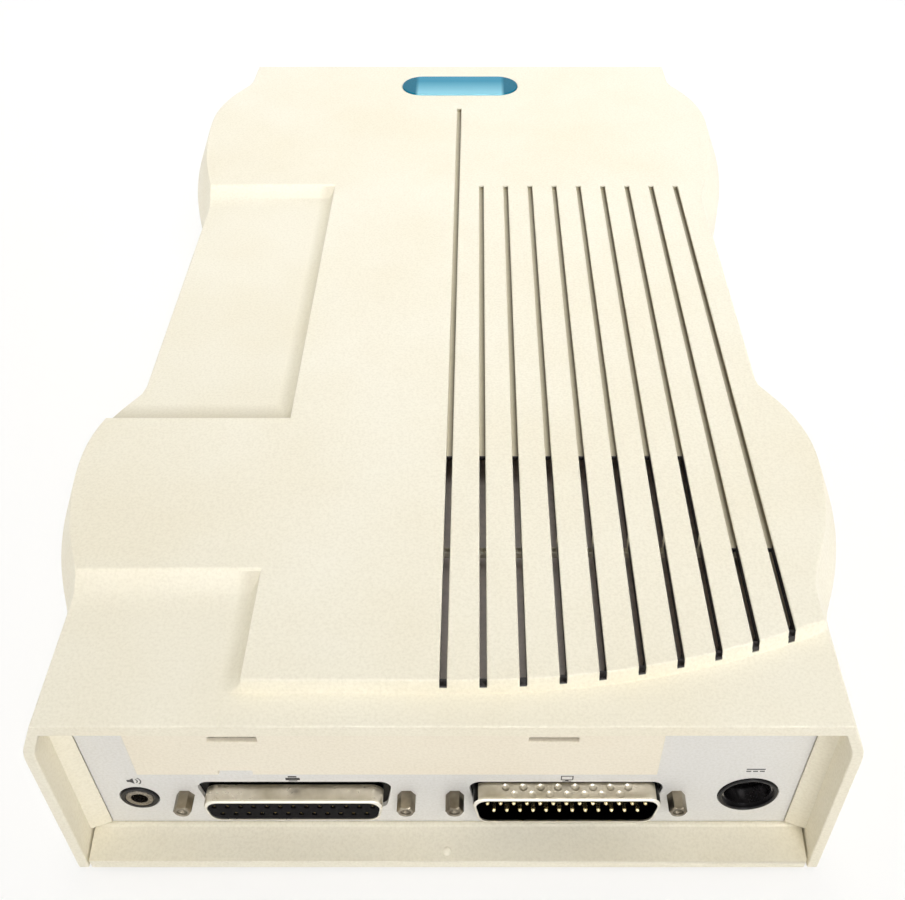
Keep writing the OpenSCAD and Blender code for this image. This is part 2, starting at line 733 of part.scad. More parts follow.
// Sound socket: moulded body on the board with a round rim, and a plated sleeve
sound_rim_r = 4;
sleeve_r = 2.9;
sleeve_bore = 1.8;
sleeve_l = 11;
sound_body_l = 13;
module sound_socket() {
    z = base_z + audio_h;
    half = 5.5;
    color(black) difference() {
        union() {
            block([audio_x - half, audio_x + half], [panel_back, panel_back + sound_body_l], [board_top, z + half]);
            rod_y(audio_x, z, panel_y - 0.4, panel_back + eps, sound_rim_r);
        }
        rod_y(audio_x, z, panel_y - 0.4 - cut_over, panel_y - 0.3 + sleeve_l, sleeve_r + run_gap);
    }
}
module sound_socket_sleeve() {
    z = base_z + audio_h;
    color(steel) difference() {
        rod_y(audio_x, z, panel_y - 0.3, panel_y - 0.3 + sleeve_l, sleeve_r);
        rod_y(audio_x, z, panel_y - cut_over, panel_y - 0.3 + sleeve_l - 1, sleeve_bore);
    }
}

// Round power socket: rim, ring-shaped well with a plated shield, and a core with contact holes
shield_r = 5;
shield_t = 0.4;
well_l = 8;
core_r = 3.9;
module power_socket() {
    z = base_z + power_h;
    half = 7;
    color(black) difference() {
        union() {
            block([power_x - half, power_x + half], [panel_back, panel_back + 12], [board_top, z + half]);
            rod_y(power_x, z, panel_y - 0.4, panel_back + eps, power_r);
        }
        difference() {
            rod_y(power_x, z, panel_y - cut_over, panel_y + well_l, shield_r + shield_t + run_gap);
            rod_y(power_x, z, panel_y + 4.5, panel_y + well_l + cut_over, core_r);
        }
        for (turn = [45 : 67.5 : 180])
            rod_y(power_x + 2.5 * cos(turn), z + 2.5 * sin(turn), panel_y, panel_y + well_l, 0.7);
    }
}
module power_socket_shield() {
    z = base_z + power_h;
    color(steel) difference() {
        rod_y(power_x, z, panel_y + 0.6, panel_y + well_l, shield_r + shield_t);
        rod_y(power_x, z, panel_y, panel_y + well_l + cut_over, shield_r);
    }
}

// Interface board and what stands on it
module interface_board() {
    color(board_green) difference() {
        block([-board_hw, board_hw], board_y, [board_top - board_t, board_top]);
        for (p = board_spots)
            post(p[0], p[1], board_top - board_t - cut_over, board_top + cut_over, board_screw_r + 0.2);
    }
}
module board_screws() {
    color(steel) for (p = board_spots) {
        post(p[0], p[1], board_top, board_top + 1.4, 2.2);
        post(p[0], p[1], floor_z + 1, board_top + eps, board_screw_r);
    }
}
// Sheet-metal screen over the board, welded to the panel and laid on the drive's lid, with louvres on one side
screen_hw = 68;
screen_lap = 6;
louvre = [2.4, 36];
louvre_pitch = 8;
module screen_plate() {
    middle_y = (panel_back + drive_y) / 2;
    color(steel) difference() {
        block([-screen_hw, screen_hw], [panel_back, drive_y + screen_lap], [lid_z, lid_z + sheet_t]);
        for (k = [1 : 6])
            translate([-10 - k * louvre_pitch, middle_y, lid_z]) cube([louvre[0], louvre[1], 3 * sheet_t], center = true);
    }
}
module on_board(x, y, size) {
    translate([x - size[0] / 2, y - size[1] / 2, board_top]) cube(size);
}
chip_y = panel_back + flange_t + port_block_l + 12.5;
module interface_chips() {
    color(black) {
        on_board(-8, chip_y, [20, 20, 3.2]);
        for (x = [-52, -34])
            on_board(x, chip_y, [11, 18, 2.6]);
        for (x = [20, 38])
            on_board(x, chip_y, [9, 20, 3.4]);
        on_board(-25, header_y + 13, [22, 11, 3]);
    }
}
module interface_capacitors() {
    color("#39424a") for (spot = [[51, -4], [51, 5], [36, 28]])
        post(spot[0], chip_y + spot[1], board_top, board_top + 11, 4);
}
ide_x = -8;
ide_w = 56;
power_plug_x = 57;
power_plug_w = 20;
sound_plug_x = -62;
sound_plug_w = 10;
module interface_headers() {
    color(black) for (h = [[ide_x, ide_w], [power_plug_x, power_plug_w], [sound_plug_x, sound_plug_w]])
        difference() {
            on_board(h[0], header_y, [h[1], 9, 8]);
            translate([h[0] - h[1] / 2 + 1, header_y - 3.5, board_top + 2]) cube([h[1] - 2, 7, 8]);
        }
}

// Loop of flat cable from the board's header to the drive, as a profile in Y and Z
plug_h = 9;
ribbon_t = 0.9;
socket_z = drive_z + 9;
ribbon_w = 50.8;
plug_top = board_top + 2 + plug_h;
loop_top = plug_top + 14;
// Quarter turn of the cable about an axis along X, over the quadrant that starts at the given turn
module ribbon_bend(y, z, r, turn) {
    translate([ide_x - ribbon_w / 2, y, z]) rotate([turn, 0, 0]) difference() {
        intersection() {
            rotate([0, 90, 0]) cylinder(h = ribbon_w, r = r + ribbon_t / 2);
            cube([ribbon_w, 2 * r, 2 * r]);
        }
        translate([-cut_over, 0, 0]) rotate([0, 90, 0]) cylinder(h = ribbon_w + 2 * cut_over, r = r - ribbon_t / 2);
    }
}
module ribbon_flat(y, z) {
    block([ide_x - ribbon_w / 2, ide_x + ribbon_w / 2], y, z);
}
module ribbon_cable() {
    half = ribbon_t / 2;
    color("#9a9ca0") {
        ribbon_flat([loop_y + loop_r, ribbon_y], [socket_z - half, socket_z + half]);
        ribbon_bend(loop_y + loop_r, socket_z + loop_r, loop_r, 180);
        ribbon_flat([loop_y - half, loop_y + half], [socket_z + loop_r, loop_top]);
        ribbon_bend(loop_y - loop_over, loop_top, loop_over, 0);
        ribbon_bend(loop_y - loop_over, loop_top, loop_over, 90);
        ribbon_flat([header_y - half, header_y + half], [plug_top, loop_top]);
    }
}
module ribbon_plugs() {
    color(dark_grey) {
        block([ide_x - ide_w / 2 + 1.3, ide_x + ide_w / 2 - 1.3], [header_y - 3, header_y + 3], [board_top + 2, plug_top]);
        block([ide_x - ide_w / 2 + 1.3, ide_x + ide_w / 2 - 1.3], [ribbon_y, drive_y - 1], [socket_z - 3, socket_z + 3]);
    }
}

// Round lead swept along a smooth line through its points, as one tube
function unit(v) = v / norm(v);
function smooth(p, steps) =
    let (n = len(p))
    [for (i = [0 : n - 2]) for (k = [0 : steps - (i == n - 2 ? 0 : 1)])
        let (t = k / steps, a = p[max(i - 1, 0)], b = p[i], c = p[i + 1], d = p[min(i + 2, n - 1)])
        0.5 * (2 * b + (c - a) * t + (2 * a - 5 * b + 4 * c - d) * t * t + (3 * b - a - 3 * c + d) * t * t * t)];
module lead(points, r, sides, steps) {
    path = smooth(points, steps);
    n = len(path);
    rings = [for (i = [0 : n - 1])
        let (t = unit(path[min(i + 1, n - 1)] - path[max(i - 1, 0)]), u = unit(cross(t, [1, 0.01, 0])), v = cross(t, u))
        for (k = [0 : sides - 1]) path[i] + r * (cos(360 * k / sides) * u + sin(360 * k / sides) * v)];
    walls = [for (i = [0 : n - 2]) for (k = [0 : sides - 1]) for (half = [0, 1])
        let (a = i * sides + k, b = i * sides + (k + 1) % sides)
        half == 0 ? [a, a + sides, b] : [b, a + sides, b + sides]];
    first = [for (k = [0 : sides - 1]) k];
    last = [for (k = [sides - 1 : -1 : 0]) (n - 1) * sides + k];
    polyhedron(rings, concat(walls, [first, last]));
}
wire_r = 0.9;
wire_pitch = 4.2;
// A lead's points from the board's header, over a loop, to the back of the drive
function loop_points(x) = [[x, header_y, plug_top - 1], [x, header_y, plug_top + 6], [x, header_y + 2, plug_top + 14],
    [x, header_y + 7, plug_top + 17], [x, loop_y + 1, plug_top + 9], [x, loop_y + 2, socket_z + 6],
    [x, loop_y + 4, socket_z + 1], [x, ribbon_y + 1, socket_z]];
module lead_plugs(x, w) {
    block([x - w / 2 + 1.3, x + w / 2 - 1.3], [header_y - 3, header_y + 3], [board_top + 2, plug_top]);
    block([x - w / 2 + 1.3, x + w / 2 - 1.3], [ribbon_y, drive_y - 1], [socket_z - 3, socket_z + 3]);
}
module power_lead() {
    color("#c8b040") {
        lead_plugs(power_plug_x, power_plug_w);
        for (k = [-1.5 : 1 : 1.5])
            lead(loop_points(power_plug_x + k * wire_pitch), wire_r, 8, 3);
    }
}
module sound_lead() {
    color(dark_grey) {
        lead_plugs(sound_plug_x, sound_plug_w);
        lead(loop_points(sound_plug_x), 1.4, 8, 3);
    }
}

// Sheet-metal drive body
chassis_hw = drive_w / 2 - sheet_t;
chassis_wall_z = lid_z - 10;
module drive_chassis() {
    back = drive_y + sheet_t;
    side_holes = [for (y = drive_hole_ys) for (h = [10, 21.8]) [y, drive_z + h]];
    color(steel) difference() {
        union() {
            block([-chassis_hw, chassis_hw], [drive_y, bezel_y], [drive_z, drive_z + sheet_t]);
            for (side = [0, 1]) mirror([side, 0, 0])
                block([chassis_hw - sheet_t, chassis_hw], [drive_y, bezel_y], [drive_z, chassis_wall_z]);
            block([-chassis_hw, chassis_hw], [drive_y, back], [drive_z, lid_z - sheet_t]);
        }
        for (s = drive_sockets_at)
            block([s[0] - s[1] / 2 - 0.3, s[0] + s[1] / 2 + 0.3], [drive_y - cut_over, back + cut_over],
                [socket_z - socket_half - 0.3, socket_z + socket_half + 0.3]);
        for (p = drive_holes)
            post(p[0], p[1], drive_z - cut_over, drive_z + sheet_t + cut_over, screw_r + run_gap);
        for (p = side_holes)
            rod_x(p[0], p[1], -drive_w, drive_w, 1.5);
    }
}
module drive_lid() {
    flange = 14;
    rib = 0.6;
    clamp_spot = 24;
    color(steel) difference() {
        union() {
            block([-drive_w / 2, drive_w / 2], [drive_y, bezel_y], [lid_z - sheet_t, lid_z]);
            for (side = [0, 1]) mirror([side, 0, 0])
                block([chassis_hw, drive_w / 2], [drive_y, bezel_y], [lid_z - flange, lid_z]);
        }
        // Shallow round swage over the clamp, and two cross swages
        translate([0, disc_y, lid_z - rib]) difference() {
            cylinder(h = rib + cut_over, r = clamp_spot + 3);
            cylinder(h = rib + cut_over, r = clamp_spot);
        }
        for (y = [disc_y - 45, disc_y - 85])
            block([-50, 50], [y - 2, y + 2], [lid_z - rib, lid_z + cut_over]);
    }
}

// Front bezel of the drive
disc_z = drive_z + disc_h;
disc_y = bezel_y - disc_in;
tray_z = [disc_z - 2.4, disc_z + 2.6];
tongue_reach = 2;
slot_hw = tray_hw + tongue_reach + 0.7;
slot_z = [tray_z[0] - 5.2, tray_z[1] + 4];
control_z = drive_z + 10;
eject_x = -55;
eject_size = [13, 5];
wheel_x = 44;
wheel_t = 2.6;
wheel_y = bezel_y1 + bezel_in - 0.4 - wheel_r;
phones_x = 60;
phones_r = 1.8;
light_x = -30;
light_size = [5, 2];
pinhole_x = -15;
pinhole_r = 0.8;
control_gap = 0.3;
module drive_bezel() {
    color(ivory) difference() {
        block([-bezel_hw, bezel_hw], [bezel_y, bezel_y1], bezel_z);
        block([-slot_hw, slot_hw], [bezel_y - cut_over, bezel_y1 + cut_over], slot_z);
        block([eject_x - eject_size[0] / 2 - control_gap, eject_x + eject_size[0] / 2 + control_gap],
            [bezel_y - cut_over, bezel_y1 + cut_over],
            [control_z - eject_size[1] / 2 - control_gap, control_z + eject_size[1] / 2 + control_gap]);
        block([wheel_x - wheel_r - control_gap, wheel_x + wheel_r + control_gap], [bezel_y - cut_over, bezel_y1 + cut_over],
            [control_z - wheel_t / 2 - control_gap, control_z + wheel_t / 2 + control_gap]);
        block([light_x - light_size[0] / 2 - 0.1, light_x + light_size[0] / 2 + 0.1], [bezel_y - cut_over, bezel_y1 + cut_over],
            [control_z - light_size[1] / 2 - 0.1, control_z + light_size[1] / 2 + 0.1]);
        rod_y(phones_x, control_z, bezel_y - cut_over, bezel_y1 + cut_over, phones_rim_r + 0.1);
        rod_y(pinhole_x, control_z, bezel_y - cut_over, bezel_y1 + cut_over, pinhole_r);
        // Finger scoop under the eject button
        translate([eject_x, bezel_y1 + 9, control_z]) rotate([0, 90, 0]) cylinder(h = 20, r = 10, center = true);
    }
}

// Boards inside the drive
drive_board_z = drive_z + sheet_t + 1.5;
drive_board_y = [drive_y + sheet_t + 1, disc_y + 20];
drive_board_hw = 60;
drive_board_posts = [for (x = [-55, 55]) for (y = [drive_board_y[0] + 6, drive_board_y[1] - 6]) [x, y]];
module drive_board() {
    color(board_green) {
        block([-drive_board_hw, drive_board_hw], drive_board_y, [drive_board_z, drive_board_z + board_t]);
        for (p = drive_board_posts)
            post(p[0], p[1], drive_z + sheet_t, drive_board_z + eps, 2.5);
    }
}
drive_board_top = drive_board_z + board_t;
module drive_chips() {
    color(black) for (c = [[-25, -10, 20, 20], [15, -15, 16, 16], [40, 5, 12, 18], [-40, 25, 10, 18], [20, 25, 14, 14]])
        translate([c[0] - c[2] / 2, disc_y - 60 + c[1] - c[3] / 2, drive_board_top]) cube([c[2], c[3], 2.2]);
}
socket_half = 4.5;
drive_sockets_at = [[ide_x, ide_w], [power_plug_x, power_plug_w], [sound_plug_x, sound_plug_w]];
module drive_sockets() {
    depth = 9;
    color(black) for (s = drive_sockets_at) difference() {
        union() {
            block([s[0] - s[1] / 2, s[0] + s[1] / 2], [drive_y - 2, drive_y + depth], [socket_z - socket_half, socket_z + socket_half]);
            block([s[0] - s[1] / 2 + 3, s[0] + s[1] / 2 - 3], [drive_board_y[0] + 1, drive_y + depth],
                [min(drive_board_top, socket_z), socket_z]);
        }
        block([s[0] - s[1] / 2 + 1, s[0] + s[1] / 2 - 1], [drive_y - 2 - cut_over, drive_y - 0.6],
            [socket_z - 3.3, socket_z + 3.3]);
    }
}
front_board_z = drive_z + sheet_t + 2;
front_board_y = [bezel_y - 9, bezel_y - 0.5];
front_board_hw = 66;
front_board_top = front_board_z + board_t;
module front_board() {
    color(board_green) {
        block([-front_board_hw, front_board_hw], front_board_y, [front_board_z, front_board_top]);
        for (x = [-62, -20, 30, 62])
            post(x, front_board_y[0] + 4, drive_z + sheet_t, front_board_z + eps, 2.2);
    }
}

// Controls on the front board
eject_y = bezel_y + 0.6;
module eject_button() {
    half = [eject_size[0] / 2, eject_size[1] / 2];
    color(cream) {
        block([eject_x - half[0], eject_x + half[0]], [eject_y, bezel_y1 + 1.2], [control_z - half[1], control_z + half[1]]);
        block([eject_x - 1, eject_x + 1], [bezel_y - 1.5, eject_y + eps], [control_z - 1, control_z + 1]);
    }
}
module eject_switch() {
    color(black) block([eject_x - 3.5, eject_x + 3.5], [front_board_y[0] + 0.5, bezel_y - 1.5 - eject_travel - 0.3],
        [front_board_top, control_z + 3]);
}
pivot_r = 1.2;
module volume_wheel() {
    notch = 0.45;
    ridges = 30;
    color(black) difference() {
        post(wheel_x, wheel_y, control_z - wheel_t / 2, control_z + wheel_t / 2, wheel_r);
        post(wheel_x, wheel_y, control_z - wheel_t, control_z + wheel_t, pivot_r + run_gap);
        for (k = [0 : ridges - 1])
            translate([wheel_x, wheel_y, control_z]) rotate([0, 0, 360 * k / ridges])
                translate([wheel_r, 0, 0]) cube([2 * notch, 2 * notch, 2 * wheel_t], center = true);
    }
}
module volume_control() {
    color(dark_grey) {
        block([wheel_x - 5.5, wheel_x + 5.5], [front_board_y[0] + 1, front_board_y[1]], [front_board_top, control_z - wheel_t / 2 - 0.3]);
        post(wheel_x, wheel_y, control_z - wheel_t / 2 - 0.3 - eps, control_z + wheel_t / 2 + 0.4, pivot_r);
    }
}
phones_rim_r = 3.6;
phones_l = 12;
module headphone_socket() {
    color(black) difference() {
        union() {
            block([phones_x - 5, phones_x + 5], [front_board_y[0], bezel_y], [front_board_top, control_z + 5]);
            rod_y(phones_x, control_z, bezel_y - eps, bezel_y1 + 0.4, phones_rim_r);
        }
        rod_y(phones_x, control_z, bezel_y1 + 0.4 - phones_l, bezel_y1 + 0.4 + cut_over, phones_r);
    }
}
module activity_light() {
    half = [light_size[0] / 2, light_size[1] / 2];
    color("#3aa04a") {
        block([light_x - half[0], light_x + half[0]], [bezel_y - 3, bezel_y1 + 0.2], [control_z - half[1], control_z + half[1]]);
        block([light_x - half[0], light_x + half[0]], [bezel_y - 4, bezel_y - 3 + eps], [front_board_top, control_z + half[1]]);
    }
}

// Loader frame: side walls with rails for the tray, front shelf for the motor, ears for the deck
rail_in = tray_hw + rail_gap;
frame_in = tray_hw + tongue_reach + rail_gap;
frame_out = chassis_hw - sheet_t - 0.3;
tongue_z = [disc_z - 1, disc_z + 1];
rail_t = 1.8;
frame_y = [disc_y - 100, bezel_y - 1];
frame_top = tray_z[1] + 6;
shelf_z = [disc_z - 15, disc_z - 12.5];
shelf_y = [disc_y + 34, front_board_y[0] - 1];
gear_x = -38;
gear_y = disc_y + 48;
gear_z = [tray_z[0] - 4.4, tray_z[0] - 0.6];
motor_x = 12;
motor_r = 10;
motor_shaft_r = 1;
axle_r = 2;
hinge_y = disc_y - 92;
hinge_z = disc_z - 10;
hinge_r = 2;
deck_hw = 43;
ear_x = [deck_hw + 1, deck_hw + 5];
guide_y = disc_y + 31;
lift_y = [guide_y, guide_y + 2];
lift_rail_x = [-36, 38];
lift_gap = 0.1;
module loader_frame() {
    foot_z = drive_z + sheet_t;
    color(dark_grey) difference() {
        union() {
            for (side = [0, 1]) mirror([side, 0, 0]) {
                block([frame_in, frame_out], frame_y, [foot_z, frame_top]);
                for (z = [[tongue_z[0] - rail_gap - rail_t, tongue_z[0] - rail_gap],
                        [tongue_z[1] + rail_gap, tongue_z[1] + rail_gap + rail_t]])
                    block([rail_in, frame_in + eps], frame_y, z);
                block(ear_x, [hinge_y - 5, hinge_y + 5], [shelf_z[0], hinge_z + 4]);
                block([ear_x[0], frame_in + eps], [frame_y[0], hinge_y + 5], [shelf_z[0], shelf_z[1]]);
            }
            block([-frame_in - eps, frame_in + eps], shelf_y, shelf_z);
            post(gear_x, gear_y, shelf_z[1] - eps, gear_z[1] - 0.4, axle_r);
            // Channel that the lift slider runs in, along the shelf's rear edge
            block(lift_rail_x, [lift_y[1] + lift_gap, shelf_y[0] + eps], [lift_z[0] - lift_gap - 2, shelf_z[1]]);
            block(lift_rail_x, [lift_y[0] - 1.2, lift_y[1] + lift_gap + eps], [lift_z[0] - lift_gap - 2, lift_z[0] - lift_gap]);
            block(lift_rail_x, [lift_y[0] - 1.2, lift_y[0] - lift_gap], [lift_z[0] - lift_gap - 2, lift_z[0] + 1.6]);
        }
        rod_x(hinge_y, hinge_z, -frame_in + 1, frame_in - 1, hinge_r + run_gap);
        post(motor_x, gear_y, shelf_z[0] - cut_over, shelf_z[1] + cut_over, 3.5);
        for (p = drive_holes)
            block([p[0] - 4, p[0] + 4], [p[1] - 4, p[1] + 4], [foot_z - cut_over, foot_z + 3.5]);
    }
}

// Disc tray with its two disc seats, the slot for the turntable and lens, side tongues and a rack
tray_y = [disc_y - 85, bezel_y + 0.5];
tray_slot_hw = 19;
rack_x = gear_x - gear_r;
rack_z = gear_z[0] + 0.4;
tooth_pitch = 2 * PI * gear_r / gear_teeth;
tooth_m = tooth_pitch / PI;
tooth_out = 0.85 * tooth_m;
tooth_in = 1.2 * tooth_m;
tooth_half = tooth_pitch / 4 - 0.12;
tooth_slant = tan(20);
module rack_plan() {
    first = floor((tray_y[0] + 4 - gear_y) / tooth_pitch);
    translate([rack_x - tooth_in - 2.5, tray_y[0] + 1]) square([2.5, gear_y + 12 - tray_y[0] - 1]);
    for (k = [first + 1 : 2])
        translate([rack_x, gear_y + k * tooth_pitch])
            polygon([[-tooth_in - eps, -tooth_half - tooth_in * tooth_slant], [tooth_out, -tooth_half + tooth_out * tooth_slant],
                [tooth_out, tooth_half - tooth_out * tooth_slant], [-tooth_in - eps, tooth_half + tooth_in * tooth_slant]]);
}
module disc_tray() {
    seat_gap = 0.6;
    small_disc_r = 40;
    color("#d9d4c6") difference() {
        union() {
            block([-tray_hw, tray_hw], tray_y, tray_z);
            block([-tray_hw - tongue_reach, tray_hw + tongue_reach], [tray_y[0], tray_y[1] - 4], tongue_z);
            translate([0, 0, rack_z]) linear_extrude(tray_z[0] - rack_z + eps) rack_plan();
        }
        post(0, disc_y, disc_z, tray_z[1] + cut_over, disc_r + seat_gap);
        post(0, disc_y, disc_z - 0.9, tray_z[1] + cut_over, small_disc_r + seat_gap);
        block([-tray_slot_hw, tray_slot_hw], [tray_y[0] - cut_over, disc_y], [tray_z[0] - cut_over, tray_z[1] + cut_over]);
        post(0, disc_y, tray_z[0] - cut_over, tray_z[1] + cut_over, tray_slot_hw);
    }
}
module tray_front() {
    gap = 0.4;
    edge = 0.8;
    color(ivory) {
        block([-slot_hw + gap, slot_hw - gap], [tray_y[1], bezel_y1], [slot_z[0] + gap, slot_z[1] - gap]);
        block([-slot_hw + gap + edge, slot_hw - gap - edge], [bezel_y1 - eps, bezel_y1 + edge],
            [slot_z[0] + gap + edge, slot_z[1] - gap - edge]);
    }
}

// Loading train: motor, belt and gear
pulley_z = [shelf_z[1] + 0.8, gear_z[0]];
belt_z = (pulley_z[0] + pulley_z[1]) / 2;
pulley_r = 11;
groove_r = 10.2;
motor_groove_r = 2.2;
belt_t = 1;
module grooved_pulley(r, rim) {
    rotate_extrude() polygon([[0, pulley_z[0]], [rim, pulley_z[0]], [rim, belt_z - 0.9], [r, belt_z - 0.7],
        [r, belt_z + 0.7], [rim, belt_z + 0.9], [rim, pulley_z[1]], [0, pulley_z[1]]]);
}
module loading_gear() {
    half = 360 / gear_teeth / 4 * (4 * tooth_half / tooth_pitch);
    function at(r, a) = [r * cos(a), r * sin(a)];
    spread = 57.3 * tooth_slant / gear_r;
    color("#e8e4d8") translate([gear_x, gear_y, 0]) difference() {
        union() {
            grooved_pulley(groove_r, pulley_r);
            translate([0, 0, gear_z[0] - eps]) linear_extrude(gear_z[1] - gear_z[0] + eps) {
                circle(gear_r - tooth_in);
                for (k = [0 : gear_teeth - 1])
                    rotate(360 * (k + 0.5) / gear_teeth)
                        polygon([at(gear_r - tooth_in - 0.3, -half - spread * tooth_in), at(gear_r, -half),
                            at(gear_r + tooth_out, -half + spread * tooth_out * 1.6),
                            at(gear_r + tooth_out, half - spread * tooth_out * 1.6), at(gear_r, half),
                            at(gear_r - tooth_in - 0.3, half + spread * tooth_in)]);
            }
        }
        translate([0, 0, pulley_z[0] - cut_over]) cylinder(h = 20, r = axle_r + run_gap);
    }
}
module loading_motor() {
    low = drive_z + sheet_t + 1;
    color(steel) {
        post(motor_x, gear_y, low, shelf_z[0], motor_r);
        post(motor_x, gear_y, shelf_z[0] - eps, pulley_z[1] - 0.5, motor_shaft_r);
        post(motor_x, gear_y, shelf_z[0] - eps, shelf_z[1], 3.2);
    }
}
module motor_pulley() {
    color("#c9a050") translate([motor_x, gear_y, 0]) difference() {
        grooved_pulley(motor_groove_r, motor_groove_r + 0.9);
        translate([0, 0, pulley_z[0] - cut_over]) cylinder(h = 20, r = motor_shaft_r + run_gap);
    }
}
module loading_belt() {
    gap = 0.15;
    color(black) translate([0, 0, belt_z - belt_t / 2]) linear_extrude(belt_t) difference() {
        hull() {
            translate([gear_x, gear_y]) circle(groove_r + gap + belt_t);
            translate([motor_x, gear_y]) circle(motor_groove_r + gap + belt_t);
        }
        hull() {
            translate([gear_x, gear_y]) circle(groove_r + gap);
            translate([motor_x, gear_y]) circle(motor_groove_r + gap);
        }
    }
}

// Deck that carries the spindle and the optical sled; its front end falls to let the tray out
deck_z = [disc_z - 11, disc_z - 8.5];
deck_y = [disc_y - 96, disc_y + 26];
well = [30, 15, 87];
rod_x_at = 27;
rod_z = disc_z - 12;
screw_x = 35;
cam_pin_r = 1.5;
cam_z = disc_z - 9.75;
cam_arm = guide_y - hinge_y;
cam_fall = cam_arm * sin(deck_tilt);
cam_x = 0;
lift_z = [cam_z - cam_fall - 4, cam_z + 4];
module traverse_deck() {
    color(dark_grey) difference() {
        union() {
            block([-deck_hw, deck_hw], deck_y, deck_z);
            for (x = [-rod_x_at, rod_x_at, screw_x])
                for (y = [disc_y - well[1], disc_y - well[2] - 5])
                    block([x - 3.5, x + 3.5], [y, y + 5], [rod_z - 3.5, deck_z[0] + eps]);
            rod_x(hinge_y, hinge_z, -ear_x[1] + 0.5, ear_x[1] - 0.5, hinge_r);
            rod_y(cam_x, cam_z, deck_y[1] - eps, lift_y[1] - lift_gap, cam_pin_r);
        }
        block([-well[0], well[0]], [disc_y - well[2], disc_y - well[1]], [deck_z[0] - 10, deck_z[1] + cut_over]);
        post(0, disc_y, deck_z[0] - cut_over, deck_z[1] + cut_over, spindle_r - 2);
        for (x = [-rod_x_at, rod_x_at])
            rod_y(x, rod_z, disc_y - well[2] - 4, disc_y - well[1] + 4, rod_r + run_gap);
        rod_y(screw_x, rod_z, disc_y - well[2] - 6, disc_y - well[1] + 4, rod_r + run_gap);
    }
}
spindle_r = 13;
turntable_z = [disc_z - 2, disc_z + 1];
shaft_r = 1.25;
module spindle_motor() {
    color(steel) {
        post(0, disc_y, deck_z[1], turntable_z[0] - 0.4, spindle_r);
        post(0, disc_y, deck_z[0] - 3, deck_z[1] + eps, spindle_r - 2.2);
        post(0, disc_y, deck_z[1], turntable_z[1] + 1.5, shaft_r);
    }
}
cone_r = 7.3;
cone_h = 2.5;
module turntable() {
    color(black) translate([0, disc_y, 0]) difference() {
        rotate_extrude() polygon([[0, turntable_z[0]], [turntable_r - 2, turntable_z[0]], [turntable_r, turntable_z[0] + 1.5],
            [turntable_r, turntable_z[1]], [cone_r, turntable_z[1]], [cone_r, turntable_z[1] + 1],
            [cone_r - 1.6, turntable_z[1] + cone_h], [0, turntable_z[1] + cone_h]]);
        translate([0, 0, turntable_z[0] - cut_over]) cylinder(h = turntable_z[1] + 1.5 - turntable_z[0] + cut_over, r = shaft_r + run_gap);
    }
}
module guide_rods() {
    color(steel) for (x = [-rod_x_at, rod_x_at])
        rod_y(x, rod_z, disc_y - well[2] - 4, disc_y - well[1] + 4, rod_r);
}
sled_back = disc_y - well[2] - 5;
module lead_screw() {
    pitch = 3;
    grooves = floor((well[2] - well[1] - 10) / pitch);
    color(steel) difference() {
        rod_y(screw_x, rod_z, sled_back - 0.5, disc_y - well[1] + 3.8, rod_r);
        for (k = [0 : grooves - 1])
            translate([screw_x, disc_y - well[2] + 6 + k * pitch, rod_z]) rotate([-90, 0, 0]) difference() {
                cylinder(h = 0.8, r = rod_r + cut_over);
                translate([0, 0, -cut_over]) cylinder(h = 3, r = rod_r - 0.3);
            }
    }
}
module sled_motor() {
    color(steel) difference() {
        union() {
            rod_y(screw_x, rod_z, deck_y[0] - 18, deck_y[0] - 0.3, 6.5);
            block([screw_x - 6.5, screw_x + 6.5], [deck_y[0] - 0.3 - eps, sled_back], [rod_z - 3, rod_z - 0.2]);
        }
        rod_y(screw_x, rod_z, deck_y[0] - 0.3, sled_back + cut_over, rod_r + run_gap);
    }
}
// Sled at the disc's inner edge, with bores for the rods and a half nut on the screw
lens_in = 23;
sled_y = [disc_y - lens_in - 24, disc_y - lens_in + 6];
module optical_sled() {
    z = [disc_z - 15, disc_z - 8];
    color("#5b5e62") difference() {
        union() {
            block([-rod_x_at + 4, rod_x_at - 4], sled_y, z);
            for (side = [-1, 1])
                rod_y(side * rod_x_at, rod_z, sled_y[0] + 2, sled_y[1] - 2, 2.6);
            block([-rod_x_at, -rod_x_at + 5], [sled_y[0] + 2, sled_y[1] - 2], [rod_z - 2, rod_z + 2]);
            block([rod_x_at - 5, rod_x_at], [sled_y[0] + 2, sled_y[1] - 2], [rod_z - 2, rod_z + 2]);
            block([rod_x_at, screw_x], [sled_y[0] + 8, sled_y[0] + 14], [rod_z - 3, rod_z - rod_r - 0.1]);
            block([-9, 9], [sled_y[1] - 18, sled_y[1] - 0.5], [z[1] - eps, disc_z - 3]);
        }
        for (side = [-1, 1])
            rod_y(side * rod_x_at, rod_z, sled_y[0], sled_y[1], rod_r + run_gap);
        post(0, disc_y - lens_in, disc_z - 5, disc_z, 3 + run_gap);
    }
}
module lens() {
    color("#7fb0d8") translate([0, disc_y - lens_in, 0]) rotate_extrude()
        polygon(concat([[0, disc_z - 5], [3, disc_z - 5], [3, disc_z - 3]],
            [for (k = [0 : 6]) let (x = 2.4 * (1 - k / 6)) [x, disc_z - 3 + 0.7 * (1 - pow(x / 2.4, 2))]]));
}
